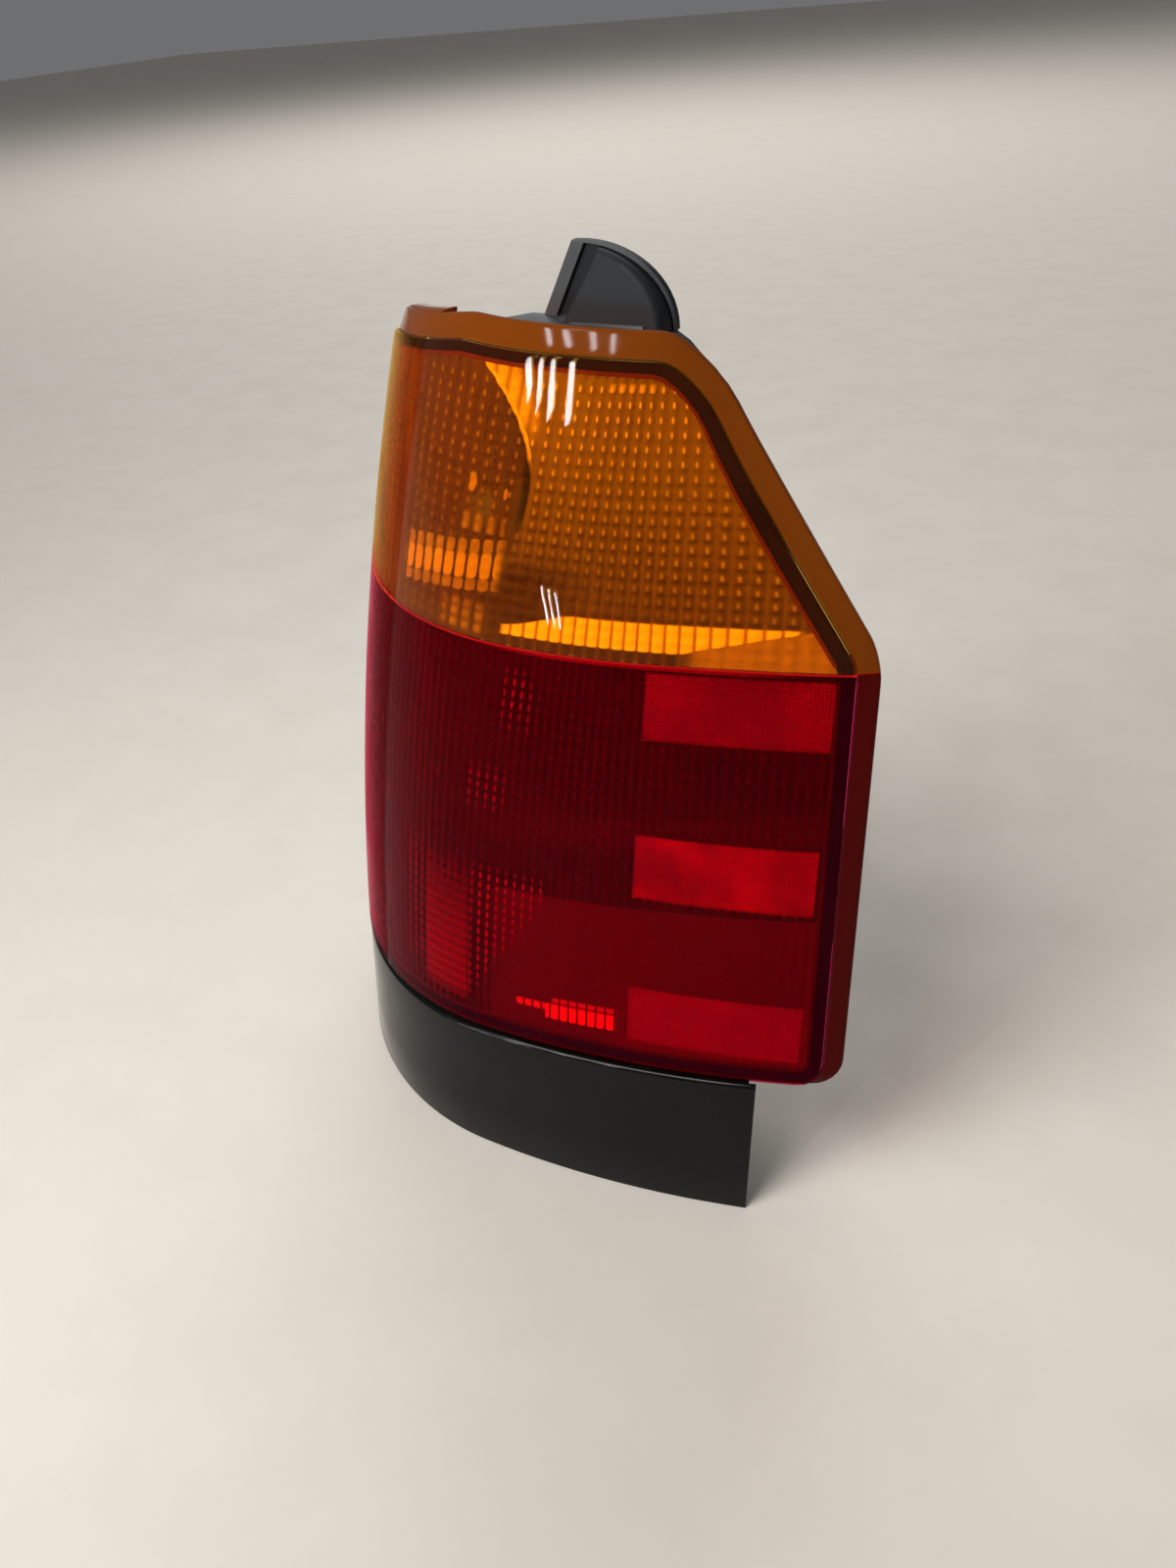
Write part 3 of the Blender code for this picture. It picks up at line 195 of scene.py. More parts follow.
def sideShift(s, z):
    shape = faceShape
    rise = max(0.0, z - shape["sideFrom"]) / (shape["sideTop"] - shape["sideFrom"])
    t = (shape["fadeEnd"] - s) / (shape["fadeEnd"] - shape["fadeStart"])
    t = min(1.0, max(0.0, t))
    return shape["sideTopShift"] * rise * rise * t * t * (3 - 2 * t)


def onFace(s, depth, z):
    shape = faceShape
    radius = shape["faceRadius"] if s >= 0 else shape["cornerRadius"]
    turn = s / radius
    x = shape["apexX"] + (radius - depth) * math.sin(turn) + sideShift(s, z)
    y = shape["apexY"] + radius - (radius - depth) * math.cos(turn) + shape["lean"] * z
    return Vector((x, y, z)) - shape["datum"]


def alongAt(x):
    radius = faceShape["faceRadius"] if x >= faceShape["apexX"] else faceShape["cornerRadius"]
    return radius * math.asin((x - faceShape["apexX"]) / radius)


def bend(bm):
    for vert in bm.verts:
        vert.co = onFace(*vert.co)


def cutAt(bm, place, normal, clear=False):
    return bmesh.ops.bisect_plane(bm, geom=bm.verts[:] + bm.edges[:] + bm.faces[:], dist=1e-7,
                                  plane_co=place, plane_no=normal, clear_outer=clear)


def slicePlanes(bm, planes):
    for place, normal in planes:
        cutAt(bm, place, normal)


# planes that cut a flat shape finely enough to bend
def curvePlanes(low, high, base, top, cornerStep=0.006, faceStep=0.010, upStep=0.012):
    corner = [-cornerStep * i for i in range(1, int(-low / cornerStep) + 1)]
    face = [faceStep * i for i in range(1, int(high / faceStep) + 1)]
    levels = [base + upStep * i for i in range(1, int((top - base) / upStep) + 1)]
    planes = [(alongS * s, alongS) for s in [0.0] + corner + face]
    return planes + [(upZ * z, upZ) for z in levels]


leastRadius = 1.5 * mm


def insetCorners(corners, insets):
    count = len(corners)
    lines = []
    for i in range(count):
        here = Vector(corners[i][:2])
        way = (Vector(corners[(i + 1) % count][:2]) - here).normalized()
        lines.append((here + Vector((-way.y, way.x)) * insets[i], way))
    moved = []
    for i in range(count):
        (p, d), (q, e) = lines[i - 1], lines[i]
        t = (q - p).cross(e) / d.cross(e)
        least = min(insets[i - 1], insets[i])
        moved.append((*(p + d * t), max(leastRadius, corners[i][2] - least)))
    return moved


def addRing(bm, corners, depth, segments=6, share=0.49):  # a loop of edges with every corner rounded
    before = set(bm.edges)
    verts = [bm.verts.new((s, depth, z)) for s, z, radius in corners]
    bm.faces.new(verts)
    count = len(corners)
    for i, vert in enumerate(verts):
        here = Vector(corners[i][:2])
        back = Vector(corners[i - 1][:2]) - here
        ahead = Vector(corners[(i + 1) % count][:2]) - here
        reach = corners[i][2] / math.tan(back.angle(ahead) / 2)
        reach = min(reach, share * back.length, share * ahead.length)
        bmesh.ops.bevel(bm, geom=[vert], offset=reach, offset_type="ABSOLUTE", affect="VERTICES",
                        segments=segments, profile=0.5, material=-1)
    ring = [edge for edge in bm.edges if edge not in before]
    bmesh.ops.delete(bm, geom=list({face for edge in ring for face in edge.link_faces}), context="FACES_ONLY")
    return ring


def makeObject(name, bm, finishes, smoothAngle=30):
    mesh = bpy.data.meshes.new(name)
    bm.to_mesh(mesh)
    bm.free()
    for finish in finishes:
        mesh.materials.append(finish.material)
    mesh.shade_smooth()
    mesh.set_sharp_from_angle(angle=math.radians(smoothAngle))
    piece = bpy.data.objects.new(name, mesh)
    scene.collection.objects.link(piece)
    return piece


def mount(piece, slot, *replaced, body="lamp"):
    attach(piece, body)
    if replaced:
        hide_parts(*replaced)


# lens skins
lensShape = {
    "corners": [(0.2062, 0.0878, 0.016), (0.2015, 0.3210, 0.040), (0.1116, 0.4555, 0.064),
                (-0.0600, 0.4590, 0.060), (-0.1613, 0.4455, 0.012), (-0.2131, 0.0765, 0.010)],
    "flange": (0.010, 0.010, 0.010, 0.010, 0.006, 0.0022),
    "span": (-0.213, 0.206), "foot": 0.075, "top": 0.459, "colourLine": 0.315, "seamGap": 0.00015,
    "dullFrom": -0.090,
    "rings": [  # counted from the flange's inner edge, inset, depth, material of the band up to here
        (True, 2.0, -0.006, 0), (True, 1.2, 0.0, 0), (True, 0.55, 0.12, 0), (True, 0.15, 0.5, 0),
        (True, 0.0, 1.1, 0), (True, 0.0, 2.0, 0), (True, -0.5, 2.5, 1), (False, 1.6, 4.1, 1),
        (False, 0.5, 4.5, 1), (False, 0.0, 5.2, 1), (False, 0.0, 7.2, 1), (False, 0.5, 7.5, 1),
        (False, 1.76, 7.5, 1), (True, -0.1, 5.2, 1), (True, 0.9, 1.6, 0)],
}
lugShape = {"size": (0.058, 0.0085, 0.0033), "edge": 0.8 * mm, "place": (-0.1165, 0.0097, 0.0),
            "from": -0.060, "rise": 0.4584, "slope": 0.1333}


def lensOutline(extra, flange=True):
    insets = [(width if flange else 0.0) + extra for width in lensShape["flange"]]
    return insetCorners(lensShape["corners"], insets)


def addLug(bm):  # locating lug on the outboard top edge
    lug = bmesh.ops.create_cube(bm, size=1.0)["verts"]
    bmesh.ops.scale(bm, vec=lugShape["size"], verts=lug)
    edges = list({edge for vert in lug for edge in vert.link_edges})
    made = bmesh.ops.bevel(bm, geom=edges, offset=lugShape["edge"], affect="EDGES", segments=3,
                           profile=0.5, material=-1)
    lug = list({vert for face in made["faces"] for vert in face.verts})
    for face in {face for vert in lug for face in vert.link_faces}:
        face.material_index = 1
    bmesh.ops.translate(bm, vec=lugShape["place"], verts=lug)
    for vert in lug:
        vert.co.z += lugShape["rise"] + lugShape["slope"] * (vert.co.x - lugShape["from"])


def lensSkin(name, above, finishes):
    bm = bmesh.new()
    rings = lensShape["rings"]
    loops = [addRing(bm, lensOutline(inset * mm, flange), depth * mm) for flange, inset, depth, _ in rings]
    for first, second, ring in zip(loops, loops[1:], rings[1:]):
        made = bmesh.ops.bridge_loops(bm, edges=first + second)
        for face in made["faces"]:
            face.material_index = ring[3]
    bmesh.ops.edgeloop_fill(bm, edges=loops[0])
    bmesh.ops.edgeloop_fill(bm, edges=loops[-1])
    side = 1 if above else -1
    level = lensShape["colourLine"] + side * lensShape["seamGap"]
    cut = cutAt(bm, (0, 0, level), (0, 0, -side), True)
    seam = [part for part in cut["geom_cut"] if isinstance(part, bmesh.types.BMEdge)]
    bmesh.ops.edgeloop_fill(bm, edges=seam, mat_nr=2)
    if above:
        addLug(bm)
    bmesh.ops.recalc_face_normals(bm, faces=bm.faces)
    low, high = (level, lensShape["top"]) if above else (lensShape["foot"], level)
    slicePlanes(bm, curvePlanes(*lensShape["span"], low, high))
    for face in bm.faces:  # the outboard strip is duller
        if face.material_index == 0 and face.calc_center_median().x < lensShape["dullFrom"]:
            face.material_index = 3
    bend(bm)
    return makeObject(name, bm, finishes, 24)


def makeSheet(shape, columns, rows, size):  # an upright grid whose lower left corner is at left and base
    bm = bmesh.new()
    bmesh.ops.create_grid(bm, x_segments=columns, y_segments=rows, size=0.5)
    bmesh.ops.scale(bm, vec=(size[0], size[1], 1.0), verts=bm.verts)
    bmesh.ops.rotate(bm, verts=bm.verts, matrix=Matrix.Rotation(math.pi / 2, 3, "X"))
    middle = (shape["left"] + size[0] / 2, shape.get("front", 0.0), shape["base"] + size[1] / 2)
    bmesh.ops.translate(bm, vec=middle, verts=bm.verts)
    return bm


def faceOutward(bm):
    bmesh.ops.recalc_face_normals(bm, faces=bm.faces)
    if sum(face.normal.y for face in bm.faces) > 0:
        bmesh.ops.reverse_faces(bm, faces=bm.faces)


# sheets of moulded pillows behind the skins
def pillowSheet(name, corners, shape, finishes, windows=()):
    columns = math.ceil((shape["right"] - shape["left"]) / shape["pitch"][0])
    rows = math.ceil((shape["top"] - shape["base"]) / shape["pitch"][1])
    share = shape["divisions"]
    size = Vector((columns * shape["pitch"][0], rows * shape["pitch"][1]))
    bm = makeSheet(shape, columns * share, rows * share, size)
    for vert in bm.verts:
        u = (vert.co.x - shape["left"]) / shape["pitch"][0]
        v = (vert.co.z - shape["base"]) / shape["pitch"][1]
        u = abs(2 * (u - math.floor(u + 1e-6)) - 1)
        v = abs(2 * (v - math.floor(v + 1e-6)) - 1)
        bulge = shape["height"] * (1 - u * u) * (1 - shape["rowShare"] * v * v)
        vert.co.y = shape["depth"] - bulge
    guide = bmesh.new()
    centre = Vector((0.0, 0.0, sum(corner[1] for corner in corners) / len(corners)))
    planes = []
    for edge in addRing(guide, corners, 0.0, 4):
        a, b = (vert.co for vert in edge.verts)
        normal = Vector((b.z - a.z, 0.0, a.x - b.x))
        if normal.dot(a - centre) < 0:
            normal.negate()
        planes.append((a.copy(), normal.normalized()))
    guide.free()
    for place, normal in planes:
        cutAt(bm, place, normal, True)
    for left, right, low, high in windows:
        slicePlanes(bm, [(alongS * s, alongS) for s in (left, right)])
        slicePlanes(bm, [(upZ * z, upZ) for z in (low, high)])
        inside = []
        for face in bm.faces:
            at = face.calc_center_median()
            if left < at.x < right and low < at.z < high:
                inside.append(face)
        bmesh.ops.delete(bm, geom=inside, context="FACES")
    rim = [edge for edge in bm.edges if edge.is_boundary]
    turned = bmesh.ops.extrude_edge_only(bm, edges=rim)["geom"]
    for part in turned:
        if isinstance(part, bmesh.types.BMVert):
            part.co.y = shape["depth"] + shape["rim"]
        if isinstance(part, bmesh.types.BMFace):
            part.material_index = 1
    layer = bm.loops.layers.uv.new("face")
    for face in bm.faces:
        for loop in face.loops:
            loop[layer].uv = (loop.vert.co.x + mapShift, loop.vert.co.z)
    faceOutward(bm)
    bend(bm)
    return makeObject(name, bm, finishes, 50)


# finishes
def lensFinish(name, shade, through, roughness, transmission, bending):
    finish = Finish(name)
    smear = finish.noise(18.0, 4.0)
    finish.surface(Base_Color=shade, Roughness=finish.ease(smear, 0.35, 0.75, roughness, roughness * 2),
                   IOR=bending, Transmission_Weight=transmission)
    finish.shadowThrough(through)
    return finish


def plainFinish(name, shade, roughness, metallic=0.0, grain=900.0, grainStrength=0.15, drift=0.25, sheen=0.5):
    finish = Finish(name)
    cloud = finish.noise(14.0, 4.0)
    dim = tuple(value * (1 - drift) for value in shade)
    fine = finish.noise(grain, 2.0)
    finish.surface(Base_Color=finish.blend(finish.ease(cloud, 0.35, 0.7), shade, dim),
                   Roughness=finish.ease(cloud, 0.3, 0.75, roughness * 0.85, roughness * 1.2),
                   Normal=finish.bump(fine, grainStrength, 0.2 * mm), Metallic=metallic,
                   Specular_IOR_Level=sheen)
    return finish


def cells(finish, s, z, shape):  # where a point is from its pillow's middle, as shares of a pillow
    wide, tall = (pitch * mmPerMetre for pitch in shape["pitch"])
    aside = finish.fract((s - shape["left"] * mmPerMetre) / wide) - 0.5
    up = finish.fract((z - shape["base"] * mmPerMetre) / tall) - 0.5
    return aside, up


# what shows through the amber lens, with the light, glints and shade of the parts behind it painted on, in
# millimetres along the face and up it, and in shares of a pillow
amberPillows = {"left": -0.2001, "right": 0.195, "base": 0.3109, "top": 0.446, "pitch": (0.0083, 0.0060),
                "divisions": 4, "height": 0.0009, "rowShare": 0.8, "depth": 0.0029, "rim": 0.0035}
amberShades = {"low": (0.101, 0.032, 0.001), "high": (0.185, 0.076, 0.001), "ridge": (0.20, 0.072, 0.001),
               "foot": (0.060, 0.015, 0.001), "bowl": (0.072, 0.014, 0.001), "wedge": (0.036, 0.007, 0.001),
               "dot": (0.60, 0.28, 0.006), "strip": (0.085, 0.012, 0.001), "stripLight": (0.13, 0.028, 0.002),
               "dark": (0.018, 0.005, 0.001), "glow": (0.80, 0.36, 0.003), "patch": (0.66, 0.28, 0.003),
               "flute": (1.0, 0.45, 0.004), "fluteGap": (0.38, 0.12, 0.002), "plain": (0.35, 0.130, 0.002)}
amberPattern = {
    "bowlLevel": 388.0, "bowlFrom": -2.0, "bowlAbove": 0.0138, "bowlBelow": 0.0078, "bowlShade": 0.75,
    "fieldLean": 0.22, "dot": (0.14, 0.28), "dotLean": 0.10, "dotLift": 0.08,
    "cornerLean": 0.35, "cornerFrom": 153.0, "cornerLeast": 0.25,
    "patchLean": 0.132, "patchLevel": 354.2,
    "lozenges": [(0.0, 7.0, 0.43, 0.64), (9.4, 3.8, 0.38, 0.34), (-9.4, 3.2, 0.44, 0.30)],
    "lowerLeast": 0.45, "lowerShade": 0.3,
    "spots": [((-37.0, 389.0), (2.6, 5.5), 0.5), ((-16.0, 386.0), (1.6, 3.0), 0.4)],
    "fluteTop": 334.0, "fluteFoot": 320.8, "fluteSoft": 0.5, "liftFrom": 108.0, "liftOver": 58.0,
    "lift": 12.0, "underEdge": (0.3, -0.7), "solid": 0.93, "bowlClear": 0.04,
}
amberMarks = {
    "bowl": [("fromBowl", 0.6, -0.6)],
    "strip": [("s", -84.0, -94.0)],
    "field": [("rising", 342.0, 450.0)],
    "ridge": [("across", 0.34, 0.49), 0.45],
    "foot": [("up", -0.62, -0.22, 0.08), ("across", 0.42, 0.25), ("z", 432.0, 360.0), 0.6],
    "bowlShadow": [("fromBowl", -24.0, -2.0), ("z", 372.0, 428.0, 10.0), 0.55],
    "wedge": [("z", 362.0, 350.0), ("s", 60.0, 12.0), 0.7],
    "cloud": [("cloud", 0.45, 0.7, 0.0, 0.3)],
    "bowlLines": [("across", 0.24, 0.47), 0.45],
    "dots": [("rising", 348.0, 388.0), ("z", 385.0, 434.0, 0.38, 1.0)],
    "bowlDots": [("z", 334.0, 425.0, 0.10, 0.24)],
    "dotTop": [("z", 440.0, 437.0)],
    "streaks": [("streaks", 0.35, 0.65)],
    "bowlEdge": [("fromBowl", -4.5, -0.4, 0.7), ("z", 372.0, 402.0, 4.0)],
    "corner": [("z", 408.0, 426.0), ("slant", 24.0, 10.0)],
    "cornerPillow": [("across", 0.47, 0.18), 0.6],
    "bowlGlint": [("fromBowl", -1.1, 1.2, 0.5), ("z", 398.0, 412.0)],
    "patch": [("s", -84.0, -13.0, 4.0)],
    "lower": [("z", 317.0, 332.0, 2.5), ("s", -46.0, -17.0, 3.0)],
    "lowerAcross": [("across", 0.46, 0.12)],
    "lowerUp": [("upAway", 0.5, 0.1), 0.55],
    "glints": [("z", 367.0, 374.5, 1.2), ("s", -41.0, -14.0, 1.5), ("across", 0.40, 0.12), 0.25],
    "bars": [("z", 433.5, 436.5, 0.6), ("s", 42.0, 82.0, 6.0), ("across", 0.36, 0.2), 0.6],
    "fluteDrop": [("s", 40.0, -8.0), 8.5],
    "flutes": [("s", -6.0, 165.0, 2.0)],
    "fluteGap": [("across", 0.30, 0.47)],
    "under": [("s", -6.0, 190.0, 2.0)],
    "underLines": [("across", 0.2, 0.45)],
    "plain": [("s", 106.0, 122.0)],
}


def amberOpticsFinish(shape, pattern, shades):
    finish = Finish("amber_optics")
    s, z = finish.onLens()
    aside, up = cells(finish, s, z, shape)
    across = abs(aside)
    ease, most, blend = finish.ease, finish.most, finish.blend
    rise = most(z - pattern["bowlLevel"], 0.0)
    fall = most(pattern["bowlLevel"] - z, 0.0)
    fromBowl = s - pattern["bowlFrom"] + rise * rise * pattern["bowlAbove"]
    fromBowl = fromBowl + fall * fall * pattern["bowlBelow"]  # right of the bowl's edge when positive
    wires = {"s": s, "z": z, "across": across, "up": up, "upAway": abs(up), "fromBowl": fromBowl,
             "rising": z + s * pattern["fieldLean"],
             "slant": fromBowl - z * pattern["cornerLean"] + pattern["cornerFrom"],
             "cloud": finish.noise(16.0, 3.0), "streaks": finish.noise(60.0, 3.0, 0.6, (1.0, 1.0, 0.03))}

    def mark(name, amount=None):
        return finish.mark(wires, amberMarks[name], amount)

    inBowl = mark("bowl")
    outside = 1 - inBowl
    smoothStrip = mark("strip")
    pillowed = 1 - smoothStrip

    # field: painted light, brighter upwards, with painted light ridges between columns and painted shade as a
    # dark foot under each dot
    colour = blend(mark("field"), shades["low"], shades["high"])
    colour = blend(mark("ridge"), colour, shades["ridge"])
    colour = blend(mark("foot"), colour, shades["foot"])
    # painted shade: the bowl darker, a painted shadow inside its edge, a painted dark wedge beside it and
    # painted dark lines between its columns
    colour = blend(inBowl * pattern["bowlShade"], colour, shades["bowl"])
    colour = blend(mark("bowlShadow", inBowl), colour, shades["foot"])
    colour = blend(mark("wedge", outside), colour, shades["wedge"])
    colour = blend(mark("cloud"), colour, shades["low"])
    colour = blend(mark("bowlLines", inBowl), colour, shades["foot"])

    # dots: a painted highlight on each pillow
    offset = aside + up * pattern["dotLean"]
    wide, tall = pattern["dot"]
    spread = (offset / wide) ** 2.0 + ((up - pattern["dotLift"]) / tall) ** 2.0
    dotLevel = mark("dots") * outside + mark("bowlDots", inBowl)
    dotLevel = mark("dotTop", dotLevel) * pillowed
    dotShown = ease(spread, 1.0, 0.25) * dotLevel
    colour = blend(dotShown, colour, shades["dot"])

    # smooth strip down the outboard edge
    strip = blend(mark("streaks"), shades["strip"], shades["stripLight"])
    colour = blend(smoothStrip, colour, strip)

    # painted shade and a painted bright line along the bowl's edge, painted light on the bright corner beside
    # it, and painted light and glints on the lit pillows under the bulb and near the top
    colour = blend(mark("bowlEdge"), colour, shades["dark"])
    corner = mark("corner", outside) * (pattern["cornerLeast"] + mark("cornerPillow"))
    colour = blend(corner, colour, shades["glow"])
    colour = blend(mark("bowlGlint"), colour, shades["glow"])
    middle = s * pattern["patchLean"] + pattern["patchLevel"]
    patch = 0.0
    for lift, tall, wide, level in pattern["lozenges"]:
        spread = (across / wide) ** 4.0 + (abs(z - middle - lift) / tall) ** 4.0
        patch = most(ease(spread, 1.0, 0.35) * level, patch)
    patch = mark("patch", patch)
    lozenge = mark("lowerAcross") * (pattern["lowerLeast"] + mark("lowerUp"))
    lower = mark("lower") * lozenge * pattern["lowerShade"]
    glints = mark("glints")
    for at, size, level in pattern["spots"]:
        glints = glints + finish.spot(s, z, at, size) * level
    lit = most(most(patch, lower), most(glints, mark("bars")))
    colour = blend(lit, colour, shades["patch"])

    # row of tall flutes over the colour line, painted bright with painted shade in the gaps, and the plain
    # strip beneath it
    top = pattern["fluteTop"] - mark("fluteDrop")
    foot = pattern["fluteFoot"] + most((s - pattern["liftFrom"]) / pattern["liftOver"], 0.0) * pattern["lift"]
    soft = pattern["fluteSoft"]
    flutes = mark("flutes", ease(z, foot - soft, foot + soft) * ease(z, top + soft, top - soft))
    colour = blend(flutes, colour, blend(mark("fluteGap"), shades["flute"], shades["fluteGap"]))
    edgeTop, edgeFoot = pattern["underEdge"]
    under = mark("under", ease(z, foot + edgeTop, foot + edgeFoot))
    plain = blend(mark("underLines"), shades["foot"], shades["low"])
    colour = blend(under, colour, blend(mark("plain"), plain, shades["plain"]))

    solid = pattern["solid"] - inBowl * pillowed * pattern["bowlClear"]
    alpha = most(most(solid, dotShown), most(lit, flutes))
    finish.surface(Base_Color=colour, Roughness=0.32, Alpha=alpha, Specular_IOR_Level=0.05)
    return finish


# what shows through the red lens, with its light and shade painted on, in the same measures
redPillows = {"left": -0.2095, "right": 0.199, "base": 0.0900, "top": 0.3147, "pitch": (0.0056, 0.0060),
              "divisions": 3, "height": 0.0008, "rowShare": 0.4, "depth": 0.0029, "rim": 0.0030}
redShades = {"field": (0.021, 0.0003, 0.002), "line": (0.042, 0.0004, 0.003), "band": (0.048, 0.0004, 0.004),
             "lower": (0.078, 0.006, 0.009), "panel": (0.095, 0.0006, 0.008), "glow": (0.17, 0.001, 0.012),
             "dot": (0.25, 0.002, 0.014), "bar": (0.95, 0.010, 0.010)}
redPattern = {"bandLevel": 214.5, "bandLean": 0.128, "lowerLean": 0.045, "chainLean": 1.5, "barLean": 0.05,
              "dot": (0.17, 0.40), "solid": 0.92}
redMarks = {
    "between": [("across", 0.15, 0.48)],
    "lines": [("lines", 0.45, 0.7), 0.35],
    "cloud": [("cloud", 0.42, 0.7), 0.3],
    "band": [("fromBand", 9.0, 7.0), ("s", -16.0, 2.0), 0.8],
    "lower": [("lowerRise", 180.5, 178.0), ("s", -12.0, 20.0), 0.93],
    "lowPanel": [("z", 140.0, 126.0), ("s", 78.0, 86.0)],
    "glow": [("s", -46.0, -13.0, 2.0), ("z", 100.0, 190.0, 6.0), ("z", 205.0, 120.0)],
    "glowPillow": [("upAway", 0.5, 0.1)],
    "chains": [("s", -11.0, 35.0, 3.0), ("z", 192.0, 182.0), ("chainRise", 114.0, 128.0)],
    "upper": [("s", 0.0, 22.0, 4.0), ("z", 266.0, 304.0, 5.0), ("cloud", 0.46, 0.6), 0.7],
    "middle": [("s", -18.0, 6.0, 3.0), ("z", 225.0, 248.0, 3.0), 0.5],
    "side": [("s", -64.0, -44.0, 4.0), ("z", 110.0, 188.0, 8.0), 0.6],
    "bars": [("barRise", 101.0, 110.5, 0.8), ("s", 40.0, 82.0, 1.0)],
    "leftBars": [("barRise", 106.0, 110.5, 0.8), ("s", 21.0, 40.0, 2.0), 0.7],
    "highBars": [("barRise", 111.8, 115.0, 0.8), ("s", 44.0, 82.0, 2.0), 0.5],
    "barGaps": [("across", 0.46, 0.30)],
    "topLine": [("z", 311.6, 312.6), ("s", 0.0, 150.0, 30.0)],
}


def redOpticsFinish(shape, pattern, shades):
    finish = Finish("red_optics")
    s, z = finish.onLens()
    aside, up = cells(finish, s, z, shape)
    across = abs(aside)
    most, blend = finish.most, finish.blend
    wires = {"s": s, "z": z, "across": across, "upAway": abs(up), "cloud": finish.noise(11.0, 3.0),
             "lines": finish.noise(40.0, 2.0, 0.5, (1.0, 1.0, 0.02)),
             "fromBand": abs(z - pattern["bandLevel"] - s * pattern["bandLean"]),
             "lowerRise": z - s * pattern["lowerLean"], "chainRise": z - s * pattern["chainLean"],
             "barRise": z - s * pattern["barLean"]}

    def mark(name, amount=None):
        return finish.mark(wires, redMarks[name], amount)

    # dark field with fine lines, and the lighter areas on it: a painted milky reflection low down, and
    # painted light on the lower right and on a glowing patch further left
    colour = blend(mark("between"), shades["line"], shades["field"])
    colour = blend(mark("lines"), colour, shades["band"])
    colour = blend(mark("cloud"), colour, shades["field"])
    colour = blend(mark("band"), colour, shades["band"])
    colour = blend(mark("lower"), colour, shades["lower"])
    colour = blend(mark("lowPanel"), colour, shades["panel"])
    colour = blend(mark("glow"), colour, blend(mark("glowPillow"), shades["panel"], shades["glow"]))

    # painted highlights on groups of lit pillows, the painted bright bars at the foot, and the light line
    # under the colour line
    wide, tall = pattern["dot"]
    dot = finish.ease((across / wide) ** 2.0 + (up / tall) ** 2.0, 1.0, 0.3)
    groups = most(most(mark("chains"), mark("upper")), most(mark("middle"), mark("side")))
    colour = blend(dot * groups, colour, shades["dot"])
    bars = mark("bars") + mark("leftBars") + mark("highBars")
    colour = blend(mark("barGaps", bars), colour, shades["bar"])
    colour = blend(mark("topLine"), colour, shades["dot"])
    alpha = most(pattern["solid"], dot)
    finish.surface(Base_Color=colour, Roughness=0.34, Alpha=alpha, Specular_IOR_Level=0.05)
    return finish


lensShades = {  # shade, tint of the light let through, roughness, transmission, index
    "amber_clear": ((1.0, 0.66, 0.14), (1.0, 0.86, 0.48), 0.01, 1.0, 1.2),
    # the rims are darker and half clear: partly the flange's own plastic, partly painted shade for the dark
    # housing behind it
    "amber_rim": ((0.22, 0.052, 0.003), (0.9, 0.5, 0.12), 0.06, 0.35, 1.2),
    "amber_dull": ((1.0, 0.62, 0.10), (1.0, 0.86, 0.48), 0.2, 1.0, 1.04),
    "red_clear": ((0.95, 0.06, 0.25), (1.0, 0.36, 0.58), 0.01, 1.0, 1.08),
    "red_rim": ((0.095, 0.004, 0.003), (0.8, 0.1, 0.08), 0.07, 0.35, 1.12),
    "red_dull": ((0.95, 0.06, 0.20), (1.0, 0.36, 0.58), 0.2, 1.0, 1.03),
    "seam_red": ((0.30, 0.002, 0.009), (0.8, 0.1, 0.08), 0.1, 0.0, 1.2),
}
lensFinishes = {name: lensFinish(name, *values) for name, values in lensShades.items()}
for tone, above in (("amber", True), ("red", False)):
    layers = [lensFinishes[name] for name in (tone + "_clear", tone + "_rim", "seam_red", tone + "_dull")]
    mount(lensSkin(tone + "_lens_skin", above, layers), tone + "_acrylic", tone + "_lens")
print("lens skins made")

amberOptics = amberOpticsFinish(amberPillows, amberPattern, amberShades)
redOptics = redOpticsFinish(redPillows, redPattern, redShades)
orangeEdge = plainFinish("orange_edge", (0.11, 0.011, 0.002), 0.4, sheen=0.05)
darkRedEdge = plainFinish("dark_red_edge", (0.14, 0.003, 0.004), 0.35, sheen=0.05)

reflexShape = {"rows": {"reflex_panel_upper": (0.277, 0.311), "reflex_panel_middle": (0.190, 0.226),
                        "reflex_panel_lower": (0.101, 0.136)},
               "left": alongAt(-0.072), "right": alongAt(0.020), "front": 0.0036, "back": 0.0054,
               "prism": 0.0018, "peak": 0.0005}
reflexShades = {"dim": (0.17, 0.0005, 0.010), "bright": (0.34, 0.0012, 0.014), "low": (0.20, 0.0006, 0.020),
                "high": (0.13, 0.0005, 0.012), "lowFrom": (-0.060, -0.110), "highFrom": (0.010, 0.045)}


def clipCorners(corners, low, high):  # an outline cut off level at two heights
    kept = []
    count = len(corners)
    for i, (s, z, radius) in enumerate(corners):
        if low <= z <= high:
            kept.append((s, z, radius))
        after = corners[(i + 1) % count]
        crossings = []
        for level in (low, high):
            if (z - level) * (after[1] - level) < 0:
                t = (level - z) / (after[1] - z)
                crossings.append((t, (s + (after[0] - s) * t, level, leastRadius)))
        kept += [corner for t, corner in sorted(crossings)]
    return kept


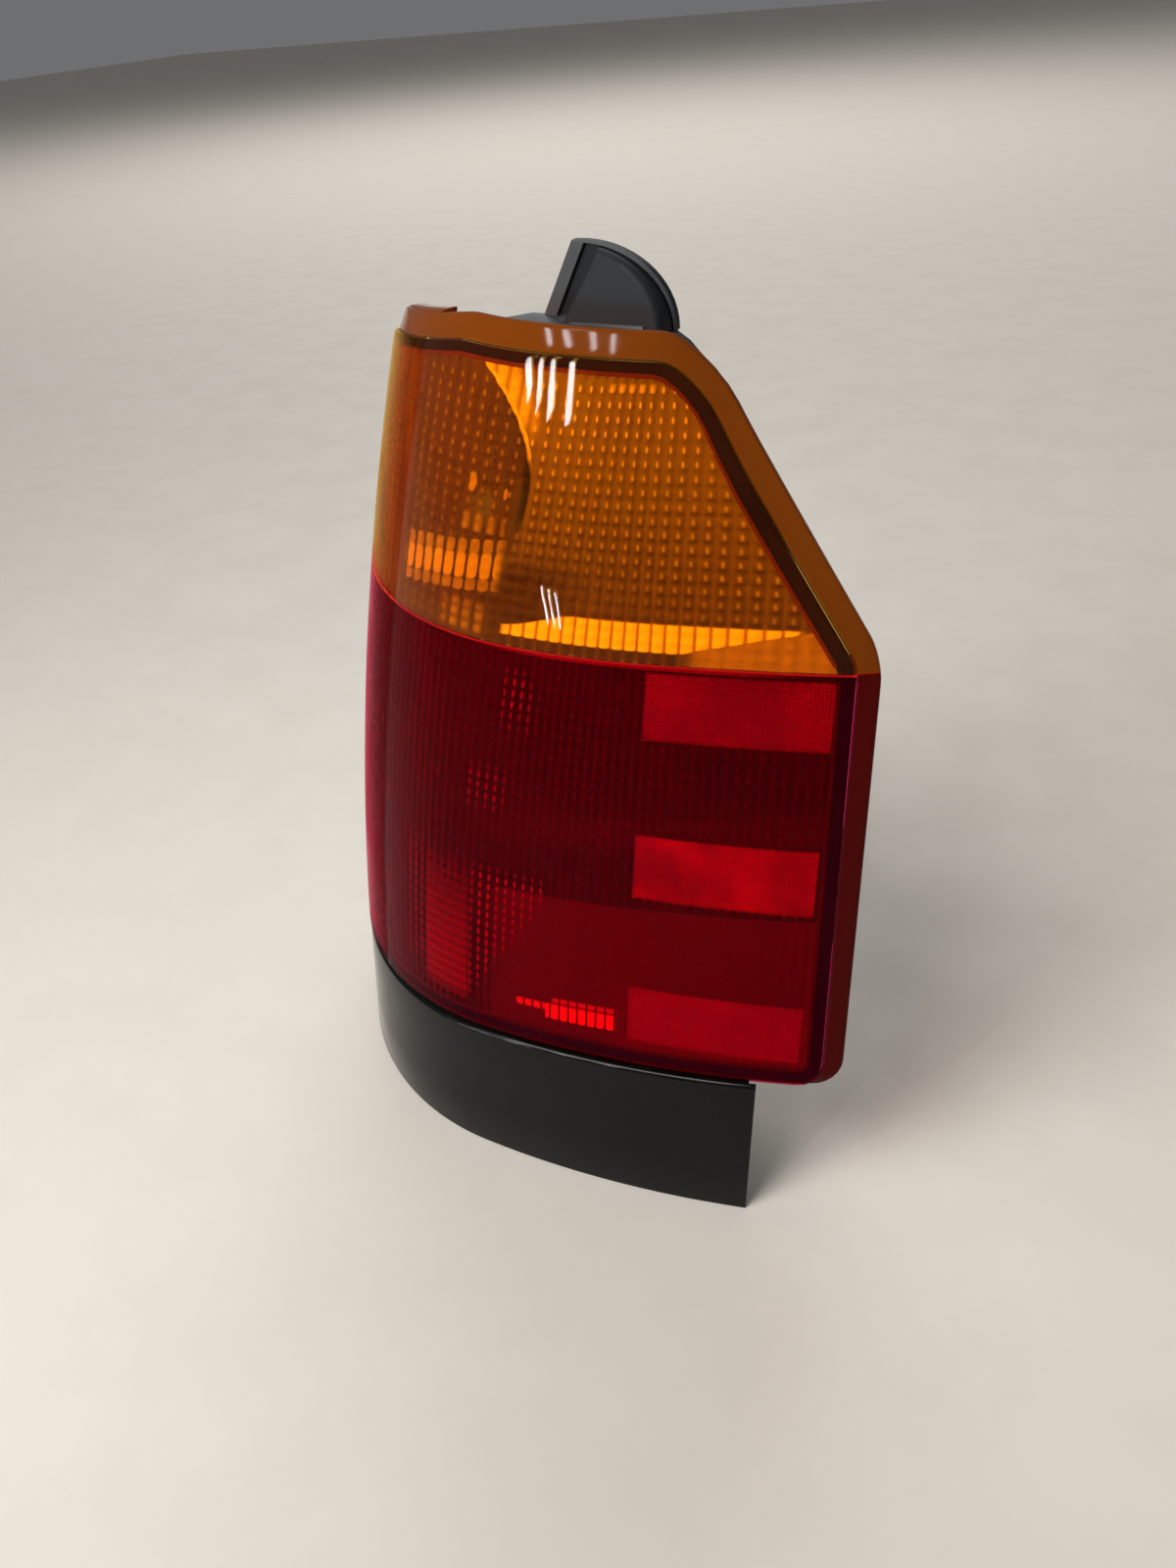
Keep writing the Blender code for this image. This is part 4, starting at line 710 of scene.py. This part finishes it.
opticsShape = {"insets": (0.0075, 0.0075, 0.0055, 0.0055, 0.0055, 0.0075),
               "amber": (0.3153, 0.47), "red": (0.05, 0.3147)}
opticsOutline = insetCorners(lensOutline(0.0), opticsShape["insets"])
amberOutline = clipCorners(opticsOutline, *opticsShape["amber"])
redOutline = clipCorners(opticsOutline, *opticsShape["red"])
reflexSides = (reflexShape["left"], reflexShape["right"])
windows = [(*reflexSides, *levels) for levels in reflexShape["rows"].values()]
amberSheet = pillowSheet("amber_optics_sheet", amberOutline, amberPillows, [amberOptics, orangeEdge])
redSheet = pillowSheet("red_optics_sheet", redOutline, redPillows, [redOptics, darkRedEdge], windows)
mount(amberSheet, "amber_acrylic")
mount(redSheet, "red_acrylic")

# border beads round the optics, and the dark liner seen through the lens's border
beadShape = {"width": 0.0018, "depths": (0.00185, 0.0030), "step": 0.2 * mm, "foot": 0.08,
             "amberCut": (0.3185, -1), "redCut": (0.3115, 1)}
linerShape = {"insets": (0.0013, 0.0013, 0.0013, 0.0013, 0.0050, 0.0013), "lap": 0.0008,
              "depths": (0.0022, 0.0028)}


def borderBead(name, outer, inner, depths, finish, cut=None):  # a flat band, open at a cut
    bm = bmesh.new()
    low, high = depths
    step = beadShape["step"]
    corners = ((outer, high), (outer, low), (inner, low + step), (inner, high + step))
    loops = [addRing(bm, outline, depth, 5) for outline, depth in corners]
    for first, second in zip(loops, loops[1:] + loops[:1]):
        bmesh.ops.bridge_loops(bm, edges=first + second)
    if cut:
        level, side = cut
        cutAt(bm, (0, 0, level), (0, 0, side), True)
        bmesh.ops.holes_fill(bm, edges=[edge for edge in bm.edges if edge.is_boundary], sides=0)
    bmesh.ops.recalc_face_normals(bm, faces=bm.faces)
    slicePlanes(bm, curvePlanes(*lensShape["span"], beadShape["foot"], lensShape["top"]))
    bend(bm)
    return makeObject(name, bm, [finish], 30)


redBead = plainFinish("red_bead", (0.045, 0.002, 0.003), 0.35, sheen=0.05)
liner = plainFinish("dark_liner", (0.018, 0.006, 0.02), 0.6, sheen=0.0)
for tone, outline, finish in (("amber", amberOutline, orangeEdge), ("red", redOutline, redBead)):
    inner = insetCorners(outline, [beadShape["width"]] * len(outline))
    bead = borderBead(tone + "_bead", outline, inner, beadShape["depths"], finish, beadShape[tone + "Cut"])
    mount(bead, tone + "_acrylic")
outline = insetCorners(lensOutline(0.0), linerShape["insets"])
inner = insetCorners(opticsOutline, [linerShape["lap"]] * len(outline))
mount(borderBead("lens_liner", outline, inner, linerShape["depths"], liner), "sealant")
print("optics sheets made")


# reflex panels: a field of small pyramids
def makeReflexFinish(shades):
    finish = Finish("reflex_red")
    height = finish.node("ShaderNodeSeparateXYZ", None, {0: finish.place()}, "Z")
    cloud = finish.noise(22.0, 3.0)
    shade = finish.blend(finish.ease(cloud, 0.38, 0.66), shades["dim"], shades["bright"])
    # painted light and shade by height: the lowest row of panels takes another tone and the highest is
    # painted darker, standing in for how each row is lit
    shade = finish.blend(finish.ease(height, *shades["lowFrom"]), shade, shades["low"])
    shade = finish.blend(finish.ease(height, *shades["highFrom"]) * 0.7, shade, shades["high"])
    finish.surface(Base_Color=shade, Roughness=0.22, Specular_IOR_Level=0.3)
    return finish


def makePrisms(name, low, high, finish):
    shape = reflexShape
    size = (shape["right"] - shape["left"], high - low)
    columns, rows = (round(side / shape["prism"]) for side in size)
    bm = makeSheet({**shape, "base": low}, columns, rows, size)
    faceOutward(bm)
    bmesh.ops.poke(bm, faces=bm.faces, offset=shape["peak"])
    edges = [edge for edge in bm.edges if edge.is_boundary]
    for part in bmesh.ops.extrude_edge_only(bm, edges=edges)["geom"]:
        if isinstance(part, bmesh.types.BMVert):
            part.co.y = shape["back"]
    bend(bm)
    return makeObject(name + "_prisms", bm, [finish], 5)


reflexFinish = makeReflexFinish(reflexShades)
for name, (low, high) in reflexShape["rows"].items():
    mount(makePrisms(name, low, high, reflexFinish), "reflex_red", name)
print("reflex panels made")

# filler trim: a bevelled panel with its lip, foot and end webs, bent to the face like the lens
trimShape = {"left": -0.2131, "right": 0.1619, "height": 0.085, "tilt": 0.027, "front": 0.0006,
             "wall": 0.0028, "edge": 0.0005, "innerEdge": 0.4 * mm, "crown": 0.0022, "crownSteps": 8,
             "lap": 0.4, "lipDrop": 0.002, "lipReach": 0.036, "footReach": 0.012, "inset": 0.0042,
             "steps": (0.005, 0.010, 0.030), "black": (0.0042, 0.0040, 0.0037), "dust": (0.05, 0.047, 0.042)}


def addBlock(bm, low, high, edge, crown=0.0):
    verts = bmesh.ops.create_cube(bm, size=1.0)["verts"]
    low, high = Vector(low), Vector(high)
    bmesh.ops.scale(bm, vec=high - low, verts=verts)
    bmesh.ops.translate(bm, vec=(low + high) / 2, verts=verts)
    edges = list({side for vert in verts for side in vert.link_edges})
    if crown:  # the front edge of the top is rounder than the rest
        reach = high.z - low.y - 1e-6
        ridge = [side for side in edges if min(vert.co.z - vert.co.y for vert in side.verts) > reach]
        bmesh.ops.bevel(bm, geom=ridge, offset=crown, affect="EDGES", segments=trimShape["crownSteps"],
                        profile=0.5, material=-1)
        edges = [side for side in bm.edges if side.calc_face_angle(0.0) > 0.5]
    bmesh.ops.bevel(bm, geom=edges, offset=edge, affect="EDGES", segments=3, profile=0.5, material=-1)


def makeTrim(finish):
    shape = trimShape
    bm = bmesh.new()
    left, right, tall, wall = shape["left"], shape["right"], shape["height"], shape["wall"]
    edge, lap, reach = shape["innerEdge"], shape["lap"] * wall, shape["footReach"]
    back = shape["front"] + wall
    near = back - lap
    inner, outer = left + shape["inset"], right - shape["inset"]
    lip, foot = tall - shape["lipDrop"], shape["lipDrop"]
    addBlock(bm, (left, shape["front"], 0.0), (right, back, tall), shape["edge"], shape["crown"])
    addBlock(bm, (inner, near, lip - wall), (outer, shape["lipReach"], lip), edge)
    addBlock(bm, (inner, near, foot), (outer, reach, foot + wall), edge)
    for s in (inner, outer - wall):
        addBlock(bm, (s, near, foot + lap), (s + wall, reach, lip - lap), edge)
    slicePlanes(bm, curvePlanes(left, right, 0.0, tall, *shape["steps"]))
    for vert in bm.verts:
        vert.co.z *= (tall - shape["tilt"] * (right - vert.co.x)) / tall
    bend(bm)
    return makeObject("filler_trim_panel", bm, [finish], 35)


def trimFinish():
    finish = Finish("trim_black")
    film = finish.noise(7.0, 5.0, 0.6)
    dust = finish.noise(260.0, 2.0, 0.5)
    scratch = finish.noise(90.0, 2.0, 0.6, (1.0, 1.0, 0.06))
    shade = finish.blend(finish.ease(dust, 0.68, 0.78) * 0.2, trimShape["black"], trimShape["dust"])
    worn = finish.ease(film, 0.35, 0.72, 0.08, 0.18) + finish.ease(scratch, 0.62, 0.72, 0.0, 0.12)
    finish.surface(Base_Color=shade, Roughness=worn, Specular_IOR_Level=0.2)
    return finish


mount(makeTrim(trimFinish()), "trim_black", "filler_trim")
print("trim made")

# arched hood on the housing's top: rim plate, groove by its straight side, sloped shell, pocket behind
hoodShape = {
    "x": -0.060, "back": -0.00095, "front": -0.025, "base": 0.21245, "cut": 0.21735, "radius": 0.0377,
    "widen": 1.294, "sideFaces": math.radians(157), "sideReach": 0.0162, "slope": 0.25, "slopeFrom": 0.011,
    "footRound": 0.2 * mm, "tipRound": 0.4 * mm, "arcShare": 0.96, "arcReach": 0.965, "arcSegments": 16,
    "rings": [  # inset from the arc, inset from the straight side, distance forward, material up to here
        (7.6, 16.5, 8.0, 0), (7.6, 16.5, 0.2, 0), (5.9, 12.5, 0.15, 0), (4.1, 8.5, 0.1, 0),
        (2.3, 4.5, 0.05, 0), (0.6, 0.6, 0.0, 0), (0.0, 0.0, 0.6, 0), (0.0, 0.0, 4.4, 0),
        (0.5, 0.6, 5.0, 1), (0.7, 2.8, 5.05, 1), (0.9, 5.0, 5.1, 1), (1.0, 5.9, 3.6, 0),
        (1.1, 8.4, 3.5, 0), (1.2, 10.9, 3.6, 0), (1.3, 11.5, 5.5, 0), (1.3, 11.5, 15.4, 0),
        (1.9, 12.0, 17.0, 0), (3.0, 12.9, 18.0, 0), (4.2, 13.8, 18.05, 0)],
}


def archCorners(arcInset, sideInset):
    shape = hoodShape
    radius = shape["radius"] - arcInset
    reach = shape["sideReach"] - sideInset
    turn = shape["sideFaces"] - math.acos(reach / radius)
    return [(radius, 0.0, shape["footRound"]),
            (radius, radius * math.tan(turn / 2), shape["arcShare"] * radius),
            (radius * math.cos(turn), radius * math.sin(turn), shape["tipRound"]),
            (reach / math.cos(shape["sideFaces"]), 0.0, shape["footRound"])]


# the second finish paints the rim plate's band a lighter grey, a painted highlight for the light that band
# catches
def makeHood(finish, paintedLight):
    shape = hoodShape
    bm = bmesh.new()
    loops = []
    for arc, side, ahead, _ in shape["rings"]:
        corners = archCorners(arc * mm, side * mm)
        loops.append(addRing(bm, corners, -ahead * mm, shape["arcSegments"], shape["arcReach"]))
    for first, second, ring in zip(loops, loops[1:], shape["rings"][1:]):
        for face in bmesh.ops.bridge_loops(bm, edges=first + second)["faces"]:
            face.material_index = ring[3]
    bmesh.ops.edgeloop_fill(bm, edges=loops[0])
    bmesh.ops.edgeloop_fill(bm, edges=loops[-1])
    for vert in bm.verts:
        if vert.co.y < -shape["slopeFrom"]:
            vert.co.y += shape["slope"] * vert.co.z
    bmesh.ops.scale(bm, vec=(shape["widen"], 1.0, 1.0), verts=bm.verts)
    bmesh.ops.recalc_face_normals(bm, faces=bm.faces)
    bmesh.ops.translate(bm, vec=(shape["x"], shape["back"], shape["base"]), verts=bm.verts)
    return makeObject("housing_hood", bm, [finish, paintedLight], 32)


def mergedCopy(name):  # the frame's mesh is loose triangles, so a copy is merged before it is smoothed
    bm = bmesh.new()
    bm.from_mesh(nodes[name].data)
    bmesh.ops.remove_doubles(bm, verts=bm.verts, dist=1e-5)
    bmesh.ops.dissolve_limit(bm, angle_limit=math.radians(0.5), verts=bm.verts, edges=bm.edges)
    return bm


def makeHousing(finish):  # the frame's housing without its plain hood, since the bevelled one stands there
    bm = mergedCopy("housing")
    level = hoodShape["cut"]
    cutAt(bm, (0, 0, level), (0, 0, 1))
    hood = []
    for face in bm.faces:
        middle = face.calc_center_median()
        if middle.z > level + 1e-5 and middle.y > hoodShape["front"]:
            hood.append(face)
    bmesh.ops.delete(bm, geom=hood, context="FACES")
    bmesh.ops.holes_fill(bm, edges=[edge for edge in bm.edges if edge.is_boundary], sides=0)
    return makeObject("housing_shell", bm, [finish], 30)


def mouldedFinish(name, shade, roughness, worn, grain=0.25, sheen=0.3):
    finish = Finish(name)
    flow = finish.noise(9.0, 5.0, 0.6)
    fine = finish.noise(1400.0, 2.0, 0.6)
    scuff = finish.noise(120.0, 3.0, 0.65, (1.0, 1.0, 0.2))
    colour = finish.blend(finish.ease(flow, 0.35, 0.7) * 0.5, shade, worn)
    colour = finish.blend(finish.ease(scuff, 0.64, 0.76) * 0.5, colour, worn)
    rough = finish.ease(flow, 0.3, 0.75, roughness * 0.85, roughness * 1.2)
    finish.surface(Base_Color=colour, Roughness=rough, Normal=finish.bump(fine, grain, 0.2 * mm),
                   Specular_IOR_Level=sheen)
    return finish


mouldings = {  # by the record's slots: shade, roughness, worn shade, and where they differ grain and sheen
    "black_moulding": ((0.020, 0.021, 0.023), 0.42, (0.050, 0.052, 0.055), 0.25, 0.4),
    "carrier_grey": ((0.24, 0.25, 0.25), 0.48, (0.32, 0.33, 0.33)),
    "connector_black": ((0.020, 0.020, 0.022), 0.45, (0.045, 0.045, 0.048)),
    "holder_grey": ((0.13, 0.13, 0.13), 0.48, (0.19, 0.19, 0.19)),
}
plainShades = {  # by the record's slots: shade, roughness, and where they differ metallic, grain and strength
    "sealant": ((0.006, 0.004, 0.005), 0.8),
    "metallised": ((0.75, 0.75, 0.74), 0.18, 1.0, 200.0, 0.05),
    "divider_grey": ((0.6, 0.6, 0.58), 0.4),
    "gasket_foam": ((0.03, 0.03, 0.032), 0.9, 0.0, 1500.0, 0.5),
    "zinc_plate": ((0.62, 0.60, 0.54), 0.32, 1.0, 700.0, 0.1),
    "tinned_pin": ((0.72, 0.70, 0.66), 0.25, 1.0),
    "seal_rubber": ((0.12, 0.025, 0.02), 0.7),
    "bulb_cap": ((0.74, 0.66, 0.48), 0.28, 1.0),
    "tungsten": ((0.35, 0.34, 0.33), 0.4, 1.0),
    "white_nylon": ((0.72, 0.71, 0.67), 0.45),
    "black_rubber": ((0.022, 0.022, 0.022), 0.75),
}
finishes = {slot: mouldedFinish(slot, *values) for slot, values in mouldings.items()}
finishes.update({slot: plainFinish(slot, *values) for slot, values in plainShades.items()})
bulbGlass = Finish("bulb_glass")
bulbGlass.surface(Base_Color=(0.98, 0.98, 0.98), Roughness=0.02, IOR=1.45, Transmission_Weight=1.0)
bulbGlass.shadowThrough((0.95, 0.95, 0.95))
finishes["bulb_glass"] = bulbGlass

mount(makeHousing(finishes["black_moulding"]), "black_moulding", "housing")
# painted shade: the hood is a darker copy of the housing's black moulding, standing in for the shade on its
# front
hoodShadedBlack = mouldedFinish("hood_shaded_moulding", (0.010, 0.012, 0.014), 0.45, (0.026, 0.028, 0.031), sheen=0.15)
# painted highlight: a lighter grey for the rim plate's band, standing in for the light it catches
paintedLightGrey = mouldedFinish("painted_light_moulding", (0.048, 0.051, 0.053), 0.5, (0.10, 0.10, 0.10))
mount(makeHood(hoodShadedBlack, paintedLightGrey), "black_moulding")
print("housing and hood made")

# the frame's other pieces, smoothed, each riding its own body
slotOf = {entry["node"]: entry["material_slot"] for entry in frame["record"]["subparts"]}
bodyOf = {name: body for body, names in frame["record"]["behaviour"]["bodies"].items() for name in names}
for name in sorted(nodes):
    if nodes[name].hide_render:  # already replaced
        continue
    piece = makeObject(name + "_body", mergedCopy(name), [finishes[slotOf[name]]], 35)
    mount(piece, slotOf[name], name, body=bodyOf[name])
print("smoothed the frame's pieces")

# floor, light and camera
studio = {"floorZ": cadBox[0][2] - 0.2 * mm, "floorSize": 14.0, "floorShade": (0.74, 0.68, 0.60),
          "worldShade": (0.93, 0.94, 0.96), "worldStrength": 0.17}
lamps = {
    "overhead": {"place": (-0.45, -0.85, 1.45), "target": (0.0, -0.05, 0.0), "size": (0.9, 0.9),
                 "power": 20.0},
    "backdrop": {"place": (-2.2, 4.2, 3.6), "target": (-1.6, 3.0, 0.0), "size": (5.0, 3.0), "power": 170.0},
}
stripTarget = (-0.03, -0.08, 0.16)
stripSpread = 90
stripRows = {  # rows of narrow lamps, from the first to the last, whose mirror images streak the lens
    "strip": {"places": ((-1.026, -1.205, 0.311), (-0.667, -1.428, 0.262)), "count": 4,
              "leans": ((-0.6, 0.55, 0.6), (-0.2, 0.18, 0.96)), "size": (0.042, 0.125), "power": 0.285},
    "high_strip": {"places": ((-0.924, -1.056, 0.923), (-0.365, -1.333, 0.934)), "count": 4,
                   "leans": ((-0.3, 0.66, 0.69), (-0.12, 0.51, 0.85)), "size": (0.042, 0.25), "power": 0.41},
    "low_strip": {"places": ((-0.357, -0.762, 0.007), (-0.317, -0.777, 0.002)), "count": 3,
                  "leans": ((-0.6, 0.22, 0.77), (-0.56, 0.16, 0.81)), "size": (0.005, 0.05), "power": 0.0165},
}
cameraShape = {"place": (0.2222, -0.5063, 0.3520), "right": (0.88011, 0.46743, -0.08311),
               "up": (-0.21003, 0.54034, 0.81481), "ahead": (-0.42578, 0.69967, -0.57373),
               "lens": 26.775, "sensor": 36.0}

bm = bmesh.new()
bmesh.ops.create_grid(bm, x_segments=2, y_segments=2, size=studio["floorSize"])
bmesh.ops.translate(bm, vec=(0, 0, studio["floorZ"]), verts=bm.verts)
floorFinish = plainFinish("pale_floor", studio["floorShade"], 0.7, 0.0, 60.0, 0.02, 0.03)
floor = makeObject("floor", bm, [floorFinish])

world = bpy.data.worlds.new("studio")
scene.world = world
world.use_nodes = True
world.node_tree.nodes["Background"].inputs["Color"].default_value = (*studio["worldShade"], 1.0)
world.node_tree.nodes["Background"].inputs["Strength"].default_value = studio["worldStrength"]


def standAt(place, right, up, back):  # where a lamp or the camera stands, and how it is turned
    return Matrix.Translation(Vector(place)) @ Matrix((right, up, back)).transposed().to_4x4()


def areaLight(name, place, target, size, power, upright=(0, 1, 0), spread=180):
    data = bpy.data.lights.new(name, "AREA")
    data.shape = "RECTANGLE"
    data.size, data.size_y = size
    data.energy = power
    data.spread = math.radians(spread)
    lamp = bpy.data.objects.new(name, data)
    away = (Vector(place) - Vector(target)).normalized()
    side = Vector(upright).cross(away).normalized()
    lamp.matrix_world = standAt(place, side, away.cross(side), away)
    scene.collection.objects.link(lamp)


for name, lamp in lamps.items():
    areaLight(name, **lamp)
for name, row in stripRows.items():
    for i in range(row["count"]):
        share = i / (row["count"] - 1)
        place, lean = (Vector(ends[0]).lerp(Vector(ends[1]), share) for ends in (row["places"], row["leans"]))
        areaLight(f"{name}_{i + 1}", place, stripTarget, row["size"], row["power"], lean, stripSpread)

data = bpy.data.cameras.new("camera")
data.lens = cameraShape["lens"]
data.sensor_width = cameraShape["sensor"]
camera = bpy.data.objects.new("camera", data)
back = -Vector(cameraShape["ahead"])
camera.matrix_world = standAt(cameraShape["place"], cameraShape["right"], cameraShape["up"], back)
scene.collection.objects.link(camera)
scene.camera = camera
scene.view_settings.view_transform = "Standard"
print("studio ready")
